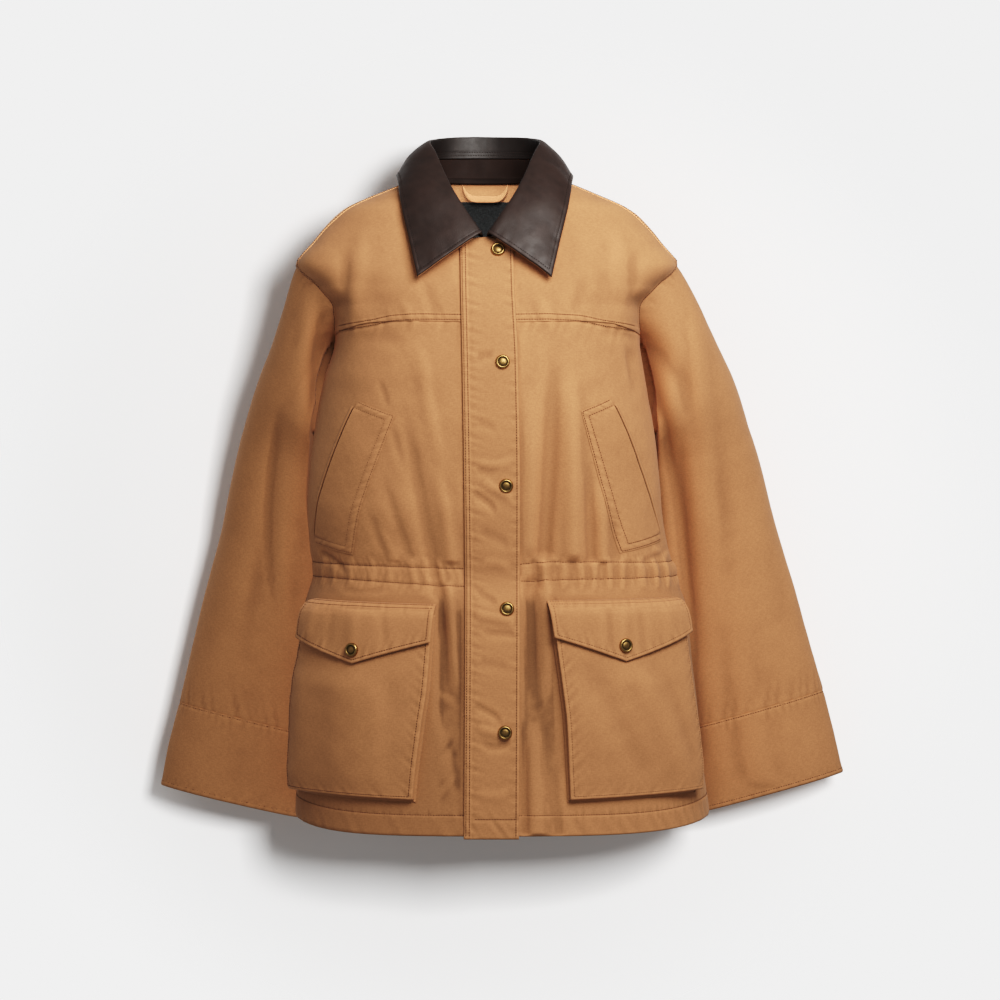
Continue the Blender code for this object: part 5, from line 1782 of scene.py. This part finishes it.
class JACKET_OT_sleeves(bpy.types.Operator):
    """Makes the sleeves and the cuffs lapped over their ends"""

    bl_idname = "jacket.sleeves"
    bl_label = "Sleeves"

    def execute(self, context):
        turns, around = np.linspace(180, 540, 113), np.linspace(181, 539, 160)
        for side, word in SIDES:
            rows = graded(0, CUFF_SEAM + 0.010, 150, (0.0, CUFF_SEAM), 0.025, 1.3)
            rows = np.concatenate([[-0.012, -0.006], rows])
            surface = partial(sleeve_at, side)
            made = canvas_piece("sleeve_" + word, turns, rows, surface, from_own_middle, closed=True)
            self.own_lamp(made, word)
            rows = graded(CUFF_SEAM, 1.0, 34, (CUFF_SEAM, 1.0), 0.012, 1.6)
            surface, wall = partial(cuff_at, side), sizes().double_wall
            made = canvas_piece("cuff_" + word, turns, rows, surface, from_own_middle, wall, closed=True)
            self.own_lamp(made, word)
            sew("cuffs", surface, around, CUFF_SEAM + CUFF_TOP_ROW * MM / SLEEVE_REACH, step=(2, 0.004))
            sew("cuffs", surface, around, 1 - CUFF_FOOT_ROW * MM / SLEEVE_REACH, step=(2, 0.004))
        return {"FINISHED"}

    @staticmethod
    def own_lamp(made, word):
        """Lights a piece by its sleeve's own key, which most of the body doesn't stop."""
        light_link(made, "Key falls on", "EXCLUDE")
        light_link(made, "Key stopped by", "EXCLUDE")
        light_link(made, word.title() + " sleeve key falls on")
        light_link(made, word.title() + " sleeve key stopped by")


class JACKET_OT_pockets(bpy.types.Operator):
    """Makes the bellows pockets, their pointed flaps and the slanting hand pockets"""

    bl_idname = "jacket.pockets"
    bl_label = "Pockets"

    def execute(self, context):
        for side, word in SIDES:
            front = "front_" + word + "_cloth"
            self.bag(side, word, front)
            self.flap(side, word, front)
            self.welt(side, word, front)
        return {"FINISHED"}

    @staticmethod
    def bag(side, word, front):
        surface = partial(bag_at, side)
        inner_wall, outer_wall = np.linspace(-1, 0, 10)[:-1], np.linspace(1, 2, 10)[1:]
        columns = np.concatenate([inner_wall, graded(0, 1, 74, (0, 1), 0.05, 1.2), outer_wall])
        rows = np.concatenate([graded(0, 1, 84, (1,), 0.05, 1.2), outer_wall])
        made = canvas_piece("pocket_" + word, columns, rows, surface)
        if side > 0:
            light_link(made, "Left sleeve key stopped by")
        inset, low = BAG_ROW * MM / 0.150, 1 - BAG_ROW * MM / BAG_HEIGHT
        for u, v in ((inset, (0.03, low)), (1 - inset, (0.03, low)), ((inset, 1 - inset), low)):
            sew("pockets", surface, u, v, step=(0.01, 0.01))

    @staticmethod
    def flap(side, word, front):
        surface = partial(flap_at, side)
        columns, rows = graded(0, 1, 92, (0, 1), 0.04, 1.2), graded(0, 1, 44, (0.05, 1), 0.08, 1.2)
        made = canvas_piece("flap_" + word, columns, rows, surface, wall=sizes().double_wall)
        height = np.array([0.042, 0.064, 0.038])  # at its inner edge, point and outer edge
        for row in FLAP_TOP_ROWS:
            sew("pockets", surface, (0.012, 0.5, 0.988), row * MM / height, step=(0.01, 0.02))
        foot = 1 - FLAP_ROW * MM / FLAP_SLANT / height
        sew("pockets", surface, (0.026, 0.5, 0.974), foot, step=(0.01, 0.02))
        for u, i in ((0.026, 0), (0.974, 2)):
            sew("pockets", surface, u, (6.5 * MM / height[i], foot[i]), step=(0.01, 0.02))

    @staticmethod
    def welt(side, word, front):
        surface = partial(welt_at, side)
        lip, opening = np.linspace(-0.16, -0.08, 4), np.linspace(-0.07, 0.02, 15)
        columns = np.concatenate([lip, opening, graded(0.035, 1, 26, (1,), 0.1, 1.0)])
        rows = graded(0, 1, 92, (0, 1), 0.05, 1.0)
        made = canvas_piece("welt_" + word, columns, rows, surface, wall=0, shade=welt_shade)
        for row in WELT_ROWS:
            inner, end = 1 - row * MM / WELT_WIDTH, row * MM / WELT_LENGTH
            for u, v in (((0.03, inner), end), (inner, (end, 1 - end)), ((inner, 0.03), 1 - end)):
                sew("welts", surface, u, v, step=(0.02, 0.01))


class JACKET_OT_collar(bpy.types.Operator):
    """Makes the leather collar, its stand, its canvas underside, the hanger loop and the blank label"""

    bl_idname = "jacket.collar"
    bl_label = "Collar"

    def execute(self, context):
        wall = sizes().leather_wall
        leather, inside = finish_of("jacket_leather"), finish_of("jacket_leather_inside")
        columns = graded(-1, 1, 220, (-1, 1), 0.05, 1.2)
        rows = graded(-STAND_SHARE + 0.012, 1, 76, (1, 0), 0.12, 1.0)
        made = make_sheet(
            "collar_leather", columns, rows, leaf_at, leather, from_neck_below, wall=wall, shade=collar_inside_painted_shade
        )
        dress(made, "leather", "collar_leaf")

        columns, rows = np.linspace(-1, 1, 150), np.linspace(0.14, 1.012, 34)
        canvas = finish_of("jacket_canvas")
        made = make_sheet(
            "collar_underside", columns, rows, under_collar_at, canvas, from_neck_below, wall=0.8 * MM
        )
        dress(made, "canvas", "under_collar")

        rows = np.linspace(-1.14, -STAND_SHARE - 0.004, 22)
        # The stand takes the darker inside leather, which is painted shade inside the neck.
        made = make_sheet("collar_stand_leather", columns, rows, stand_at, inside, from_neck, wall=wall)
        dress(made, "leather", "collar_stand")

        last = 0.982
        ends = np.linspace(-last, last, 400)
        stitches = partial(sew, "collar", leaf_at, step=(0.01, 0.02), slot="leather")
        stitches(ends, 1 - LEAF_ROW * MM / leaf_width(ends))
        stitches(-last, (0.04, 0.93))
        stitches(last, (0.04, 0.93))
        for way in ROLL_ROWS:
            stitches((-0.93, 0.93), way)
        self.loop()
        self.label()
        return {"FINISHED"}

    @staticmethod
    def loop():
        columns, rows = np.linspace(0, 1, 60), np.linspace(-1, 1, 9)
        made = canvas_piece("hanger_loop", columns, rows, loop_at, from_behind, 1.4 * MM)
        light_link(made, "Neck light falls on")

    @staticmethod
    def label():
        columns, rows, cloth = np.linspace(0, 1, 50), np.linspace(0, 1, 38), finish_of("jacket_label")
        made = make_sheet(
            "neck_label_cloth", columns, rows, label_at, cloth, lambda p: -from_axis(p), wall=0.6 * MM
        )
        dress(made, "label", "neck_label")
        light_link(made, "Neck light falls on")


class JACKET_OT_snaps(bpy.types.Operator):
    """Turns the brass caps of the snaps"""

    bl_idname = "jacket.snaps"
    bl_label = "Snaps"

    PROFILE = (
        # out from the axis, up from the cloth, brightness
        (1.00, -0.30, 0.4),
        (1.00, 0.14, 0.7),
        (0.98, 0.42, 0.9),
        (0.92, 0.66, 1.0),
        (0.83, 0.82, 1.0),
        (0.74, 0.84, 0.9),
        (0.68, 0.76, 0.55),
        (0.62, 0.56, 0.16),
        (0.55, 0.52, 0.14),
        (0.48, 0.60, 0.45),
        (0.34, 0.68, 0.62),
        (0.18, 0.72, 0.66),
        (0.00, 0.73, 0.68),
    )

    def execute(self, context):
        for name, x, level in SNAPS:
            x, level = np.array([x]), np.array([level])
            self.cap(name, placket_at(x, level)[0], torso_normal(angle_at(x, level), level)[0])
        for name, side, angle, level, u, v in POCKET_SNAPS:
            axis = torso_normal(np.array([angle]), np.array([level]))[0]
            self.cap(name, flap_at(side, np.array([u]), np.array([v]))[0], axis)
        return {"FINISHED"}

    def cap(self, name, spot, axis):
        side = unit(np.cross([0.0, 0.0, 1.0], axis))
        mesh = bmesh.new()
        glow = mesh.verts.layers.float.new("tone")
        line = []
        for out, up, bright in self.PROFILE:
            corner = mesh.verts.new(spot + side * out * SNAP_RADIUS + axis * up * SNAP_HEIGHT)
            corner[glow] = bright
            line.append(corner)
        edges = [mesh.edges.new(pair) for pair in zip(line, line[1:])]
        geom, whole = line + edges, 2 * math.pi
        bmesh.ops.spin(mesh, geom=geom, cent=spot, axis=axis, angle=whole, steps=40, use_merge=True)
        bmesh.ops.remove_doubles(mesh, verts=mesh.verts, dist=1e-5)
        bmesh.ops.recalc_face_normals(mesh, faces=mesh.faces)
        data = bpy.data.meshes.new(name + "_brass")
        mesh.to_mesh(data)
        mesh.free()
        data.materials.append(finish_of("jacket_brass"))
        data.shade_smooth()
        dress(in_scene(name + "_brass", data), "brass", name)


class JACKET_OT_stitching(bpy.types.Operator):
    """Lays the stitches along every line that the other operators have kept"""

    bl_idname = "jacket.stitching"
    bl_label = "Stitching"

    def execute(self, context):
        for slot, finish in (("canvas", "jacket_thread"), ("leather", "jacket_leather_thread")):
            for group, lines in STITCHES[slot].items():
                make_stitches("stitches_" + group, slot, lines, finish_of(finish))
        return {"FINISHED"}


class JACKET_PT_panel(bpy.types.Panel):
    """Lists the steps that make the jacket, and its sizes and colours"""

    bl_idname = "JACKET_PT_panel"
    bl_label = "Barn jacket"
    bl_space_type = "VIEW_3D"
    bl_region_type = "UI"
    bl_category = "Jacket"

    def draw(self, context):
        for step in STEPS:
            self.layout.operator(step.bl_idname)
        for group in (context.scene.jacket_sizes, context.scene.jacket_colours):
            for key in group.__annotations__:
                self.layout.prop(group, key)


STEPS = (
    JACKET_OT_stage,
    JACKET_OT_yokes,
    JACKET_OT_fronts,
    JACKET_OT_back,
    JACKET_OT_placket,
    JACKET_OT_sleeves,
    JACKET_OT_pockets,
    JACKET_OT_collar,
    JACKET_OT_snaps,
    JACKET_OT_stitching,
)
CLASSES = (JacketSizes, JacketColours, *STEPS, JACKET_PT_panel)


def register():
    for made in CLASSES:
        bpy.utils.register_class(made)
    bpy.types.Scene.jacket_sizes = bpy.props.PointerProperty(type=JacketSizes)
    bpy.types.Scene.jacket_colours = bpy.props.PointerProperty(type=JacketColours)


def unregister():
    del bpy.types.Scene.jacket_colours
    del bpy.types.Scene.jacket_sizes
    for made in reversed(CLASSES):
        bpy.utils.unregister_class(made)


def main():
    register()
    for step in STEPS:
        area, action = step.bl_idname.split(".")
        getattr(getattr(bpy.ops, area), action)()


if __name__ == "__main__":
    main()
